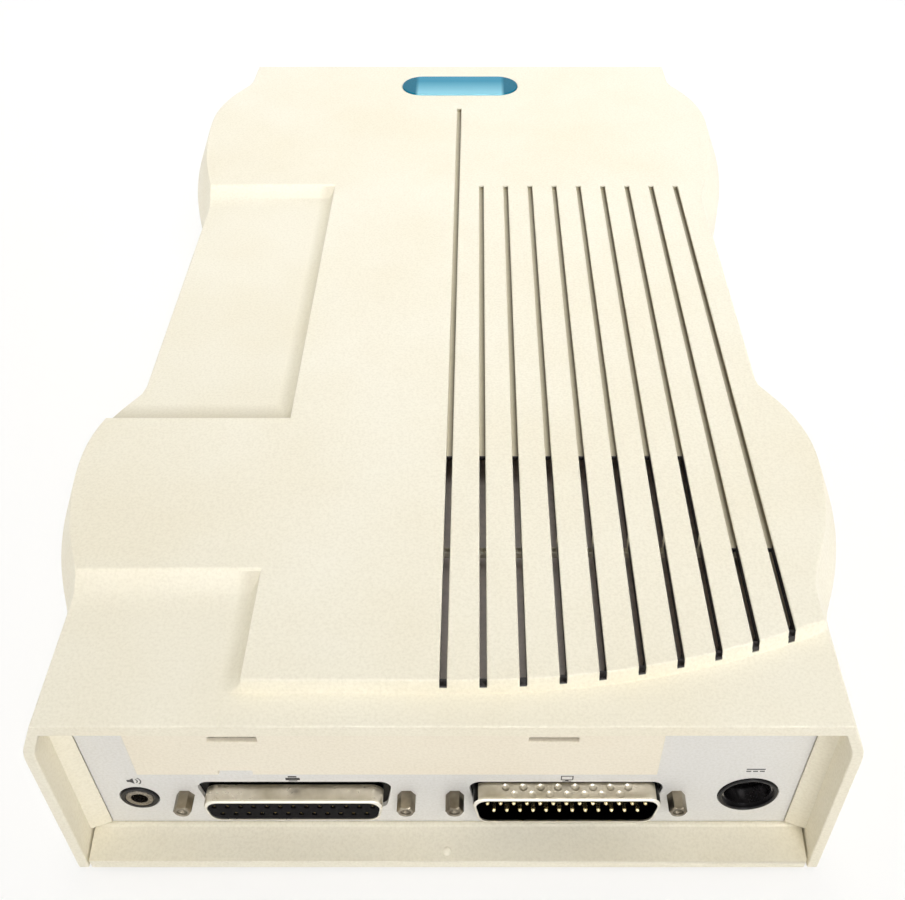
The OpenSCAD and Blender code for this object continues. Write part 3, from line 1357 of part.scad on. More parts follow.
// Slider whose slanted slot carries the pin on the front of the deck
module lift_slider() {
    slant = atan2(cam_fall, lift_travel);
    run = norm([cam_fall, lift_travel]);
    slot_r = cam_pin_r + 0.35;
    half = lift_travel / 2 + 8;
    color("#e8e4d8") difference() {
        block([cam_x - lift_travel / 2 - half + 4, cam_x - lift_travel / 2 + half], lift_y, lift_z);
        translate([cam_x, lift_y[0] - cut_over, cam_z]) rotate([0, -slant, 0]) {
            rotate([-90, 0, 0]) cylinder(h = 4, r = slot_r);
            translate([-run, 0, 0]) rotate([-90, 0, 0]) cylinder(h = 4, r = slot_r);
            translate([-run, 0, -slot_r]) cube([run, 4, 2 * slot_r]);
        }
    }
}

// Bridge over the tray with the loose clamp that presses the disc on the turntable
bridge_z = [frame_top, frame_top + 2];
puck_r = 14;
puck_hole_r = 15;
puck_rim_r = 18;
module clamp_bridge() {
    color(steel) difference() {
        block([-frame_out, frame_out], [disc_y - 22, disc_y + 22], bridge_z);
        post(0, disc_y, bridge_z[0] - cut_over, bridge_z[1] + cut_over, puck_hole_r);
        for (side = [-1, 1])
            block([side * 43 - 12, side * 43 + 12], [disc_y - 12, disc_y + 12], [bridge_z[0] - cut_over, bridge_z[1] + cut_over]);
    }
}
module clamp_puck() {
    low = disc_z + 4;
    high = bridge_z[1] + 0.1;
    color("#e8e4d8") translate([0, disc_y, 0]) rotate_extrude()
        polygon([[0, low + 1.6], [cone_r + 0.6, low + 1.6], [cone_r + 0.6, low], [puck_r - 1, low], [puck_r, low + 1],
            [puck_r, high], [puck_rim_r, high], [puck_rim_r, high + 1.2], [0, high + 1.2]]);
}

top_shell();
bottom_shell();
badge();
feet();
case_screws();
rear_panel();
blank_plate();
socket_port_shell();
socket_port_block();
pin_port_shell();
pin_port_block();
port_pins();
jackscrews();
sound_socket();
sound_socket_sleeve();
power_socket();
power_socket_shield();
interface_board();
interface_chips();
interface_capacitors();
interface_headers();
board_screws();
screen_plate();
ribbon_cable();
ribbon_plugs();
power_lead();
sound_lead();
drive_chassis();
drive_lid();
drive_screws();
drive_bezel();
drive_board();
drive_chips();
drive_sockets();
front_board();
loader_frame();
disc_tray();
tray_front();
eject_button();
eject_switch();
volume_wheel();
volume_control();
headphone_socket();
activity_light();
loading_motor();
motor_pulley();
loading_belt();
loading_gear();
lift_slider();
traverse_deck();
spindle_motor();
turntable();
guide_rods();
lead_screw();
sled_motor();
optical_sled();
lens();
clamp_bridge();
clamp_puck();
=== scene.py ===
import math
import bmesh
import bpy
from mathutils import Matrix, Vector


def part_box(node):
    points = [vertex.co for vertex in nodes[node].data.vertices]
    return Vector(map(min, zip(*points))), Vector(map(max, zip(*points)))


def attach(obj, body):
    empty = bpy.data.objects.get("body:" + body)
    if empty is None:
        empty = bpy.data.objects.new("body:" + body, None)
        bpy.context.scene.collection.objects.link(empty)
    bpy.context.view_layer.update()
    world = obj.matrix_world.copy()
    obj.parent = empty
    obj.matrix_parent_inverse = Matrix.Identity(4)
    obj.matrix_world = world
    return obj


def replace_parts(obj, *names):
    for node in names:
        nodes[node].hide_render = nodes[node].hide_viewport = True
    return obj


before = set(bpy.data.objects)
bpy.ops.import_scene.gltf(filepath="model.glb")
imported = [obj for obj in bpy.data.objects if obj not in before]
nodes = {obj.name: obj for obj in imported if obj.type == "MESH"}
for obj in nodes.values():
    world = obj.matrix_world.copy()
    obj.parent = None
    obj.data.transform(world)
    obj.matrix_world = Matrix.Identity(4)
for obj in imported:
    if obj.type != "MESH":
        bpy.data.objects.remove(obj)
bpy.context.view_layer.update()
scene = bpy.context.scene
scene.view_settings.view_transform = "Standard"


# Camera: held behind and above the connector side, close enough that the long sides run
# together towards the front. It looks along the case without a turn and down at it.
MM = 0.001
SENSOR_WIDTH = 36
IMAGE_WIDTH = 905
FOCAL_PIXELS = 1070.4
OPTICAL_AXIS_X = 478.4
CAMERA_PLACE = (6.59, -245.94, 227.31)
CAMERA_DOWN = 43.24
camera_data = bpy.data.cameras.new("camera")
camera_data.sensor_width = SENSOR_WIDTH
camera_data.lens = SENSOR_WIDTH * FOCAL_PIXELS / IMAGE_WIDTH
camera_data.shift_x = 0.5 - OPTICAL_AXIS_X / IMAGE_WIDTH
camera_data.clip_start = 0.01
camera = bpy.data.objects.new("camera", camera_data)
scene.collection.objects.link(camera)
camera.location = [c * MM for c in CAMERA_PLACE]
camera.rotation_euler = (math.radians(90 - CAMERA_DOWN), 0, 0)
scene.camera = camera


# Table: a white sheet of board that the case stands on, lit with it. It shows near white to
# the camera and in reflections, and still takes the shadow of the case.
class Wire:
    """A shader socket that takes part in Python sums; each sum adds its Math node."""

    def __init__(self, finish, socket):
        self.finish, self.socket = finish, socket

    def sum(self, operation, first, second):
        return self.finish.node("ShaderNodeMath", {"operation": operation}, {0: first, 1: second})

    def __add__(self, other):
        return self.sum("ADD", self, other)

    def __sub__(self, other):
        return self.sum("SUBTRACT", self, other)

    def __rsub__(self, other):
        return self.sum("SUBTRACT", other, self)

    def __mul__(self, other):
        return self.sum("MULTIPLY", self, other)

    def __gt__(self, other):
        return self.sum("GREATER_THAN", self, other)

    def __lt__(self, other):
        return self.sum("LESS_THAN", self, other)

    def most(self, other):
        return self.sum("MAXIMUM", self, other)

    def unsigned(self):
        return self.sum("ABSOLUTE", self, 0.0)

    def to_and_fro(self, reach):
        return self.sum("PINGPONG", self, reach)


class Finish:
    """A material with its Principled shader, and the one way to add other nodes to it."""

    def __init__(self, name):
        self.material = bpy.data.materials.new(name)
        self.material.use_nodes = True
        self.tree = self.material.node_tree
        self.shader = self.tree.nodes["Principled BSDF"]

    def put(self, socket, value):
        if isinstance(value, Wire):
            self.tree.links.new(value.socket, socket)
        else:
            socket.default_value = value

    def node(self, kind, settings=None, inputs=None, output=0):
        made = self.tree.nodes.new(kind)
        for key, value in (settings or {}).items():
            setattr(made, key, value)
        for key, value in (inputs or {}).items():
            self.put(made.inputs[key], value)
        return Wire(self, made.outputs[output])

    def shade(self, **sockets):
        for key, value in sockets.items():
            self.put(self.shader.inputs[key.replace("_", " ")], value)
        return self.material

    def place(self):
        return self.node("ShaderNodeTexCoord", output="Object")

    def along(self, axis):
        return self.node("ShaderNodeSeparateXYZ", None, {0: self.place()}, axis)

    def noise(self, scale, detail=2.0, rough=0.5, place=None):
        inputs = {"Vector": place or self.place(), "Scale": scale, "Detail": detail, "Roughness": rough}
        return self.node("ShaderNodeTexNoise", None, inputs)

    def between(self, value, low, high, to_low=0.0, to_high=1.0):
        inputs = {"Value": value, "From Min": low, "From Max": high, "To Min": to_low, "To Max": to_high}
        return self.node("ShaderNodeMapRange", {"clamp": True}, inputs)

    def mix(self, amount, first, second, blend="MIX"):
        return self.node("ShaderNodeMix", {"data_type": "RGBA", "blend_type": blend},
                         {0: amount, 6: first, 7: second}, 2)

    def bump(self, height, strength, distance):
        inputs = {"Strength": strength, "Distance": distance, "Height": height}
        return self.node("ShaderNodeBump", None, inputs)


def tint(red, green, blue):
    """A colour as it looks on screen, 0 to 255, for a shader."""
    return tuple(c / 12.92 if c <= 0.04045 else ((c + 0.055) / 1.055) ** 2.4
                 for c in (red / 255, green / 255, blue / 255)) + (1.0,)


TABLE_HALF = 6.0
TABLE_GLOW = 0.7
TABLE_CORNERS = ((-1, -1), (1, -1), (1, 1), (-1, 1))
table_mesh = bpy.data.meshes.new("table")
table_mesh.from_pydata([(x * TABLE_HALF, y * TABLE_HALF, 0) for x, y in TABLE_CORNERS], [], [(0, 1, 2, 3)])
table = bpy.data.objects.new("table", table_mesh)
scene.collection.objects.link(table)
board_white = Finish("table_white")
rays = board_white.tree.nodes.new("ShaderNodeLightPath")
seen = Wire(board_white, rays.outputs["Is Camera Ray"])
for ray in ("Is Glossy Ray", "Is Transmission Ray"):
    seen = seen.most(Wire(board_white, rays.outputs[ray]))
fibre = board_white.noise(900.0, 3.0, 0.6)
pulp = board_white.mix(fibre, tint(238, 236, 233), tint(234, 232, 229))
board_white.shade(Base_Color=board_white.mix(seen, pulp, tint(144, 143, 141)), Roughness=0.6,
                  Emission_Color=(1.0, 0.995, 0.985, 1.0), Emission_Strength=seen * TABLE_GLOW)
table_mesh.materials.append(board_white.material)


# Light: the white walls of a light tent and six soft lamps round it. The main one stands over
# the camera behind a grid and aims at the far end of the case; one hangs overhead, and the
# others stand low behind the camera, beyond the front and on each side.
TENT_LIGHT = 0.28
tent = bpy.data.worlds.new("light_tent")
scene.world = tent
tent.use_nodes = True
tent_nodes, tent_links = tent.node_tree.nodes, tent.node_tree.links
walls = tent_nodes["Background"]
walls.inputs["Color"].default_value = (1.0, 1.0, 1.0, 1.0)
tent_rays = tent_nodes.new("ShaderNodeLightPath")
mirrored = tent_nodes.new("ShaderNodeMath")
mirrored.operation = "MAXIMUM"
tent_links.new(tent_rays.outputs["Is Glossy Ray"], mirrored.inputs[0])
tent_links.new(tent_rays.outputs["Is Transmission Ray"], mirrored.inputs[1])
shown = tent_nodes.new("ShaderNodeMath")
shown.operation = "MAXIMUM"
tent_links.new(tent_rays.outputs["Is Camera Ray"], shown.inputs[0])
tent_links.new(mirrored.outputs[0], shown.inputs[1])
level = tent_nodes.new("ShaderNodeMapRange")
level.inputs["To Min"].default_value = TENT_LIGHT
level.inputs["To Max"].default_value = 1.0
tent_links.new(shown.outputs[0], level.inputs["Value"])
tent_links.new(level.outputs[0], walls.inputs["Strength"])


def soft_lamp(name, place, aim, size, power, spread=180):
    """A square or oblong lamp at a place, aimed at a point; a grid narrows its spread."""
    lamp = bpy.data.lights.new(name, "AREA")
    lamp.shape, lamp.size, lamp.size_y, lamp.energy = "RECTANGLE", size[0], size[1], power
    lamp.spread = math.radians(spread)
    holder = bpy.data.objects.new(name, lamp)
    scene.collection.objects.link(holder)
    holder.location = place
    holder.rotation_euler = (Vector(aim) - Vector(place)).to_track_quat("-Z", "Y").to_euler()


soft_lamp("lamp_over_camera", (0.3, -0.72, 0.95), (0.0, 0.22, 0.05), (0.4, 0.4), 0.57, 38)
soft_lamp("lamp_overhead", (0.01, -0.05, 1.0), (0.0, -0.02, 0.03), (0.2, 0.4), 1.8)
soft_lamp("lamp_behind_camera", (0.1, -1.1, 0.35), (0.0, -0.1, 0.03), (1.0, 0.5), 2.6)
soft_lamp("lamp_beyond_front", (0.0, 1.1, 0.3), (0.0, 0.1, 0.03), (1.0, 0.5), 2.0)
soft_lamp("lamp_at_left", (-1.0, 0.0, 0.3), (0.0, 0.0, 0.03), (0.7, 0.5), 2.4)
soft_lamp("lamp_at_right", (1.0, 0.0, 0.35), (0.0, 0.0, 0.03), (0.7, 0.5), 2.2)


# Upper shell: one injection moulding of ivory plastic with a fine etched grain, its edges rounded
# by the mould. Dust sits in the grooves of its top, each groove painted paler on its left side and
# darker on its right as painted shade; its vent slots are painted near black as shade, and the
# corners of its sunk areas are painted darker as shade.
ROOM = 1.2
POINTED = math.radians(20)
WELD = 0.002 * MM
FLAT = math.radians(0.3)


def room_beside(edge, face, width):
    """Whether a face is deep enough beside an edge, and not pointed at its ends, to be rounded."""
    start, end = (vert.co for vert in edge.verts)
    run = (end - start).normalized()
    deep = max((vert.co - start).cross(run).length for vert in face.verts) > ROOM * width
    ends = [loop for loop in face.loops if loop.vert in edge.verts]
    return deep and all(loop.calc_angle() > POINTED for loop in ends)


def soft_edges(node, name, width, segments=2, limit=32.0, chosen=None, rework=None):
    """A merged copy of a node's solid, as a plain mesh, with its outer edges rounded where there is room."""
    mesh = nodes[node].data.copy()
    mesh.materials.clear()
    solid = bmesh.new()
    solid.from_mesh(mesh)
    bmesh.ops.remove_doubles(solid, verts=solid.verts, dist=WELD)
    bmesh.ops.dissolve_limit(solid, angle_limit=FLAT, verts=solid.verts, edges=solid.edges)
    if rework:
        rework(solid)
    weight = solid.edges.layers.float.new("bevel_weight_edge")
    for edge in solid.edges:
        sharp = len(edge.link_faces) == 2 and edge.calc_face_angle() > math.radians(limit)
        wanted = sharp and edge.is_convex and (chosen is None or chosen(edge))
        edge[weight] = float(wanted and all(room_beside(edge, face, width) for face in edge.link_faces))
        edge.smooth = not sharp or edge[weight] > 0
    solid.to_mesh(mesh)
    solid.free()
    for face in mesh.polygons:
        face.use_smooth = True
    rough = bpy.data.objects.new(name + "_rough", mesh)
    scene.collection.objects.link(rough)
    rounding = rough.modifiers.new("rounding", "BEVEL")
    rounding.width, rounding.segments, rounding.limit_method = width, segments, "WEIGHT"
    rounding.use_clamp_overlap = False
    rounding.miter_outer = "MITER_ARC"
    normals = rough.modifiers.new("normals", "WEIGHTED_NORMAL")
    normals.keep_sharp = True
    normals.weight = 60
    made = bpy.data.meshes.new_from_object(rough.evaluated_get(bpy.context.evaluated_depsgraph_get()))
    bpy.data.objects.remove(rough)
    piece = bpy.data.objects.new(name, made)
    scene.collection.objects.link(piece)
    return piece


def stand_for(piece, node, body, material):
    """The piece takes the place of a CAD node on its body."""
    piece.data.materials.clear()
    piece.data.materials.append(material)
    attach(piece, body)
    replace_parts(piece, node)


GRAIN_SHADE = (0.93, 0.925, 0.91, 1.0)


def moulded(name, colour, aged, grain=0.0006, depth=0.00005, rough=(0.42, 0.58)):
    """Moulded plastic: etched grain, cloudy ageing and a little uneven sheen."""
    finish = Finish(name)
    cloud = finish.noise(18.0, 3.0, 0.6)
    speck = finish.noise(1.0 / grain, 2.0, 0.6)
    colour = finish.mix(finish.between(cloud, 0.35, 0.7), colour, aged)
    colour = finish.mix(finish.between(speck, 0.4, 0.68), colour, GRAIN_SHADE, "MULTIPLY")
    finish.shade(Base_Color=colour, Roughness=finish.between(speck, 0.3, 0.7, *rough),
                 Normal=finish.bump(speck, 0.5, depth))
    finish.colour = colour
    return finish


IVORY = tint(250, 244, 225)
IVORY_AGED = tint(246, 238, 215)
# Groove colours: dust with painted shade, the dark one for the right side of each groove and the pale one for
# its lit left side.
GROOVE_DUST_SHADED = tint(112, 103, 82)
GROOVE_DUST_LIT = tint(216, 207, 180)
# Painted shade: near black for the walls of the vent slots.
VENT_SHADE = tint(38, 33, 31)
# Painted shade, multiplied into the corners of the sunk areas.
CORNER_SHADE = (0.72, 0.7, 0.64, 1.0)
RECESS_WALL = -37.7 * MM
RECESS_REAR = -56.9 * MM
VENT_END = -68.3 * MM
SHORT_VENT_END = -96.3 * MM
LONG_VENTS = 8
BRIDGE = -94.5 * MM
BRIDGE_HALF = 1.0 * MM
SLOT_PITCH = 7.5 * MM
SLOT_REACH = 0.7 * MM
SLOT_HALF = 0.55 * MM
SLOT_DEPTH = 9.0 * MM
LAST_SLOT = 9.2 * SLOT_PITCH
TOP = 59.9 * MM
TOP_EDGE = 0.4 * MM
PLATEAU_EDGE = -130.3 * MM
EDGE_ARC = 177.0 * MM
EDGE_ARC_FROM = 5.0 * MM
EDGE_FADE = (-0.62 * MM, -0.5 * MM)
SUNK_DEPTH = 3.3 * MM
REAR_FADE = (2.8 * MM, 8.5 * MM)
WALL_FADE = (RECESS_WALL - 4.7 * MM, RECESS_WALL - 2.3 * MM)
WALL_END = (PLATEAU_EDGE - 2.0 * MM, PLATEAU_EDGE + 4.0 * MM)
shell_ivory = moulded("case_ivory", IVORY, IVORY_AGED)
across, lengthways, up = (shell_ivory.along(axis) for axis in range(3))
past_arc = (across - EDGE_ARC_FROM).most(0.0)
edge_line = past_arc * past_arc * (0.5 / EDGE_ARC) + PLATEAU_EDGE
past_edge = shell_ivory.between(lengthways - edge_line, *EDGE_FADE)
under_top = up < TOP - TOP_EDGE
in_slot = (across.to_and_fro(SLOT_PITCH / 2) < SLOT_REACH) * past_edge * under_top * (up > TOP - SLOT_DEPTH)
in_slot = in_slot * (across > -SLOT_REACH) * (across < LAST_SLOT)
short = across > (LONG_VENTS - 0.5) * SLOT_PITCH
in_slot = in_slot * short.most((lengthways - BRIDGE).unsigned() > BRIDGE_HALF)
from_middle = across - across.sum("SNAP", across + SLOT_PITCH / 2, SLOT_PITCH)
# Painted shade across each groove, pale on its left side and dark on its right, with a little random dust.
shadow = shell_ivory.between(from_middle, -SLOT_HALF, SLOT_HALF, 0.0, 0.85)
shadow = shadow + shell_ivory.noise(420.0, 3.0, 0.7) * 0.2
slot_dust_and_shade = shell_ivory.mix(shadow, GROOVE_DUST_LIT, GROOVE_DUST_SHADED)
# The vent slots are painted near black as shade.
slot_dust_and_shade = shell_ivory.mix(lengthways < short * (SHORT_VENT_END - VENT_END) + VENT_END, slot_dust_and_shade, VENT_SHADE)
# Painted shade at the rear end of the sunk areas and along the foot of their right-hand wall.
sunk = (across < RECESS_WALL) * under_top * (up > TOP - SUNK_DEPTH)
from_rear = lengthways - RECESS_REAR
rear_corner = shell_ivory.between(from_rear, *REAR_FADE, 1.0, 0.0) * (from_rear > 0.0)
wall_corner = shell_ivory.between(across, *WALL_FADE, 0.0, 0.6) * shell_ivory.between(lengthways, *WALL_END)
corner = sunk * rear_corner.most(wall_corner)
corner_shaded = shell_ivory.mix(corner, shell_ivory.colour, CORNER_SHADE, "MULTIPLY")
shell_ivory.shade(Base_Color=shell_ivory.mix(in_slot, corner_shaded, slot_dust_and_shade))
upper_shell = soft_edges("top_shell", "upper_shell", 0.35 * MM)
stand_for(upper_shell, "top_shell", "case", shell_ivory.material)


# Lower shell: a shallow tray of the same ivory plastic that the upper shell is screwed to from
# below. The mould's gate left a small pip on the ledge under the connectors.
def lofted(name, rings, sharp=35.0):
    """Rings of equally many points joined into one closed solid, capped at both ends."""
    solid = bmesh.new()
    loops = [[solid.verts.new(point) for point in ring] for ring in rings]
    for one, next_one in zip(loops, loops[1:]):
        for k in range(len(one)):
            last = (k + 1) % len(one)
            solid.faces.new((one[k], one[last], next_one[last], next_one[k]))
    solid.faces.new(loops[0])
    solid.faces.new(loops[-1])
    bmesh.ops.recalc_face_normals(solid, faces=solid.faces)
    mesh = bpy.data.meshes.new(name)
    solid.to_mesh(mesh)
    solid.free()
    for face in mesh.polygons:
        face.use_smooth = True
    mesh.set_sharp_from_angle(angle=math.radians(sharp))
    return mesh


def add_piece(name, mesh, body, material):
    """A piece of its own on a body."""
    piece = bpy.data.objects.new(name, mesh)
    scene.collection.objects.link(piece)
    mesh.materials.clear()
    mesh.materials.append(material)
    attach(piece, body)
    return piece


lower_ivory = moulded("lower_shell_ivory", IVORY, IVORY_AGED).material
lower_shell = soft_edges("bottom_shell", "lower_shell", 0.3 * MM)
stand_for(lower_shell, "bottom_shell", "case", lower_ivory)
PIP = (-0.2, -136.4, 4.86)
LEDGE_SLOPE = 0.247
PIP_PROFILE = ((0.95, -0.05), (0.9, 0.12), (0.72, 0.34), (0.42, 0.5), (0.12, 0.55))
PIP_SIDES = 20
pip_turns = [math.tau * k / PIP_SIDES for k in range(PIP_SIDES)]
pip_rings = [[((PIP[0] + r * math.cos(t)) * MM, (PIP[1] + r * math.sin(t)) * MM,
               (PIP[2] + h + LEDGE_SLOPE * r * math.sin(t)) * MM) for t in pip_turns] for r, h in PIP_PROFILE]
add_piece("gate_pip", lofted("gate_pip", pip_rings, 60.0), "case", lower_ivory)


# Feet and case screws: four turned rubber feet in seats of the floor, and four plated pan-head
# screws that draw the shells together from below.
def dress(node, material):
    """A CAD node that stays gets its material."""
    nodes[node].data.materials.clear()
    nodes[node].data.materials.append(material)


def plated(name, colour, dull, stretch=(1.0, 1.0, 1.0), rough=(0.2, 0.36), grain=2200.0):
    """Plated or rolled metal: faint drawn lines, a cloudy film and a few dull patches."""
    finish = Finish(name)
    drawn = finish.node("ShaderNodeMapping", None, {"Vector": finish.place(), "Scale": stretch})
    line = finish.noise(grain, 3.0, 0.6, drawn)
    film = finish.noise(140.0, 3.0, 0.6)
    finish.colour = finish.mix(finish.between(film, 0.38, 0.68), colour, dull)
    finish.shade(Base_Color=finish.colour, Metallic=1.0,
                 Roughness=finish.between(line * 0.6 + film * 0.4, 0.3, 0.7, *rough),
                 Normal=finish.bump(line, 0.12, 0.00001))
    return finish


foot_rubber = moulded("foot_rubber", tint(64, 65, 66), tint(52, 53, 55), depth=0.00004, rough=(0.7, 0.85))
feet = soft_edges("feet", "rubber_feet", 0.25 * MM)
stand_for(feet, "feet", "case", foot_rubber.material)
screw_steel = plated("screw_steel", tint(196, 196, 190), tint(168, 168, 162)).material
for node in ("case_screws", "board_screws", "drive_screws"):
    dress(node, screw_steel)


# Badge: an oval of blue plastic pressed into its seat in the top. It has a paler printed band
# across its middle, which is left bare, and the band is painted paler towards the rear as a highlight.
BADGE_MIDDLE = 122.2 * MM
BAND_HALF = 15.2 * MM
BAND_FADE = 0.6 * MM
BAND_HIGHLIGHT = (3.0 * MM, -6.0 * MM)
badge_blue = moulded("badge_blue", tint(6, 112, 138), tint(5, 104, 132), rough=(0.3, 0.4))
sideways, deep = badge_blue.along(0), badge_blue.along(1) - BADGE_MIDDLE
band = badge_blue.between(sideways.unsigned(), BAND_HALF - BAND_FADE, BAND_HALF + BAND_FADE, 1.0, 0.0)
# Painted highlight: the printed band grows paler towards the rear.
band_print_and_highlight = badge_blue.mix(badge_blue.between(deep, *BAND_HIGHLIGHT), tint(60, 148, 178), tint(140, 206, 224))
badge_blue.shade(Base_Color=badge_blue.mix(band, badge_blue.colour, band_print_and_highlight), Specular_IOR_Level=0.05)
badge_oval = soft_edges("badge", "badge_oval", 0.3 * MM, 3)
stand_for(badge_oval, "badge", "case", badge_blue.material)


# Rear panel: sheet steel punched for the connectors and painted light grey. Small printed signs
# stand over the sockets: a loudspeaker, a printer, a computer and the sign for direct current.
PANEL_Y = -130.2
PANEL_FACE = PANEL_Y * MM
SOUND_X = -65.7
SOCKET_PORT_X = -32.2
PIN_PORT_X = 25.1
POWER_X = 63.9
INK = 0.03 * MM
panel_paint = moulded("panel_grey", tint(236, 234, 230), tint(229, 227, 222), depth=0.00002, rough=(0.4, 0.5))
dress("rear_panel", panel_paint.material)


def printed(name, shapes, plane, facing, body, material):
    """Flat shapes in X and Z, given in mm, as a film of ink on a plane across Y."""
    film = bmesh.new()
    for shape in shapes:
        skins = [[film.verts.new((x * MM, plane + facing * INK * level, z * MM)) for x, z in shape]
                 for level in (-0.5, 1.0)]
        for k in range(len(shape)):
            last = (k + 1) % len(shape)
            film.faces.new((skins[0][k], skins[0][last], skins[1][last], skins[1][k]))
        film.faces.new(skins[0])
        film.faces.new(skins[1])
    bmesh.ops.recalc_face_normals(film, faces=film.faces)
    mesh = bpy.data.meshes.new(name)
    film.to_mesh(mesh)
    film.free()
    return add_piece(name, mesh, body, material)


def bar(x, z, width, height):
    """Corners of an upright rectangle about a point."""
    return [(x - width / 2, z - height / 2), (x + width / 2, z - height / 2),
            (x + width / 2, z + height / 2), (x - width / 2, z + height / 2)]


def moved(x, z, shapes):
    """Shapes drawn about nought, brought to a place on the panel."""
    return [[(x + a, z + b) for a, b in shape] for shape in shapes]


def arc_band(radius, width, turn_from, turn_to, steps=8):
    """A curved band between two turns, in degrees, inwards from a radius."""
    turns = [math.radians(turn_from + (turn_to - turn_from) * k / steps) for k in range(steps + 1)]
    return ([(radius * math.cos(t), radius * math.sin(t)) for t in turns]
            + [((radius - width) * math.cos(t), (radius - width) * math.sin(t)) for t in reversed(turns)])


loudspeaker = [[(-1.3, -0.4), (-0.7, -0.4), (0.1, -1.1), (0.1, 1.1), (-0.7, 0.4), (-1.3, 0.4)],
               arc_band(1.0, 0.25, -50, 50), arc_band(1.7, 0.25, -50, 50)]
printer = [bar(0, -0.15, 3.0, 0.9), bar(0, 0.75, 1.8, 0.5), bar(0, -0.9, 1.8, 0.25)]
computer = [bar(0, 0.95, 2.6, 0.22), bar(0, -0.45, 2.6, 0.22), bar(-1.2, 0.25, 0.22, 1.2),
            bar(1.2, 0.25, 0.22, 1.2), bar(0, -0.72, 0.7, 0.35), bar(0, -1.0, 1.9, 0.24)]
direct_current = [bar(0, 0.45, 3.9, 0.36), bar(-1.4, -0.35, 1.0, 0.36), bar(0, -0.35, 1.0, 0.36),
                  bar(1.4, -0.35, 1.0, 0.36)]
sign_ink = moulded("panel_ink", tint(52, 50, 50), tint(64, 62, 60), rough=(0.5, 0.6)).material
panel_signs = (moved(SOUND_X, 23.4, loudspeaker) + moved(SOCKET_PORT_X, 24.35, printer)
               + moved(PIN_PORT_X, 24.35, computer) + moved(POWER_X, 27.6, direct_current))
printed("panel_signs", panel_signs, PANEL_FACE, -1, "case", sign_ink)


# Blank plate: a beige moulded cover that snaps into the unused option window of the panel,
# with two slots for a blade and a notch to lift it by. Its face is left bare.
plate_beige = moulded("plate_beige", tint(250, 242, 223), tint(245, 235, 214)).material
window_plate = soft_edges("blank_plate", "window_plate", 0.25 * MM)
stand_for(window_plate, "blank_plate", "case", plate_beige)


# Ports: 25-way connectors on the interface board. Each has a drawn and nickel-plated steel shell
# over a black moulded block; the left one takes pins, the right one has them. Their flanges
# lie behind the panel and are painted near black as shade, as are the inner walls of the right
# one; the rounded rim of each mouth is painted paler as a highlight.
PORT_MOUTH = -134.0 * MM
PORT_Z = 17.65
INSIDE_TOP = 22.0 * MM
INSIDE_FROM = PORT_MOUTH + 0.3 * MM
FLANGE_FROM = PANEL_FACE + 0.2 * MM
RIM_FADE = (PORT_MOUTH + 0.4 * MM, PORT_MOUTH + 0.8 * MM)
shell_nickel = plated("shell_nickel", tint(228, 221, 206), tint(194, 186, 167), rough=(0.24, 0.42),
                      grain=1500.0)
across, lengthways, up = (shell_nickel.along(axis) for axis in range(3))
# Painted highlight: the rounded rim round each port's mouth is painted paler.
rim_highlight = shell_nickel.between(lengthways, *RIM_FADE, 1.0, 0.0)
nickel = shell_nickel.mix(rim_highlight, shell_nickel.colour, tint(240, 235, 222))
# Painted shade: the flanges behind the panel and the inner walls of the right-hand shell are painted near
# black.
flange_shade = lengthways > FLANGE_FROM
inside = (across > 0.0) * (lengthways > INSIDE_FROM) * (up < INSIDE_TOP)
shell_nickel.shade(Base_Color=shell_nickel.mix(flange_shade.most(inside), nickel, tint(14, 13, 13)))


def outer_rim(edge):
    """Whether an edge runs round the outside of a port's mouth."""
    middle = (edge.verts[0].co + edge.verts[1].co) / 2
    port_x = SOCKET_PORT_X if middle.x < 0 else PIN_PORT_X
    outward = Vector((middle.x - port_x * MM, 0.0, middle.z - PORT_Z * MM))
    faces_out = any(face.normal.dot(outward) > 0.3 * outward.length * face.normal.length
                    for face in edge.link_faces)
    return faces_out and max(vert.co.y for vert in edge.verts) < PORT_MOUTH + 0.01 * MM


def radial_rim(solid):
    """The flat ring round a port's mouth made anew, with edges straight across it, to be rounded."""
    def at_mouth(part):
        return all(abs(vert.co.y - PORT_MOUTH) < 0.001 * MM for vert in part.verts)

    bmesh.ops.delete(solid, geom=[face for face in solid.faces if at_mouth(face)], context="FACES_ONLY")
    bmesh.ops.delete(solid, geom=[edge for edge in solid.edges if not edge.link_faces], context="EDGES")
    rims = [edge for edge in solid.edges if len(edge.link_faces) == 1 and at_mouth(edge)]
    bmesh.ops.bridge_loops(solid, edges=rims)
    bmesh.ops.recalc_face_normals(solid, faces=solid.faces)


for node, name in (("socket_port_shell", "socket_shell"), ("pin_port_shell", "pin_shell")):
    port_shell = soft_edges(node, name, 0.4 * MM, 4, 40.0, outer_rim, radial_rim)
    stand_for(port_shell, node, "case", shell_nickel.material)
block_finish = moulded("block_black", tint(17, 15, 17), tint(12, 12, 13), 0.0005, 0.00002, (0.5, 0.65))
block_black = block_finish.shade(Specular_IOR_Level=0.06)
for node in ("socket_port_block", "pin_port_block"):
    dress(node, block_black)


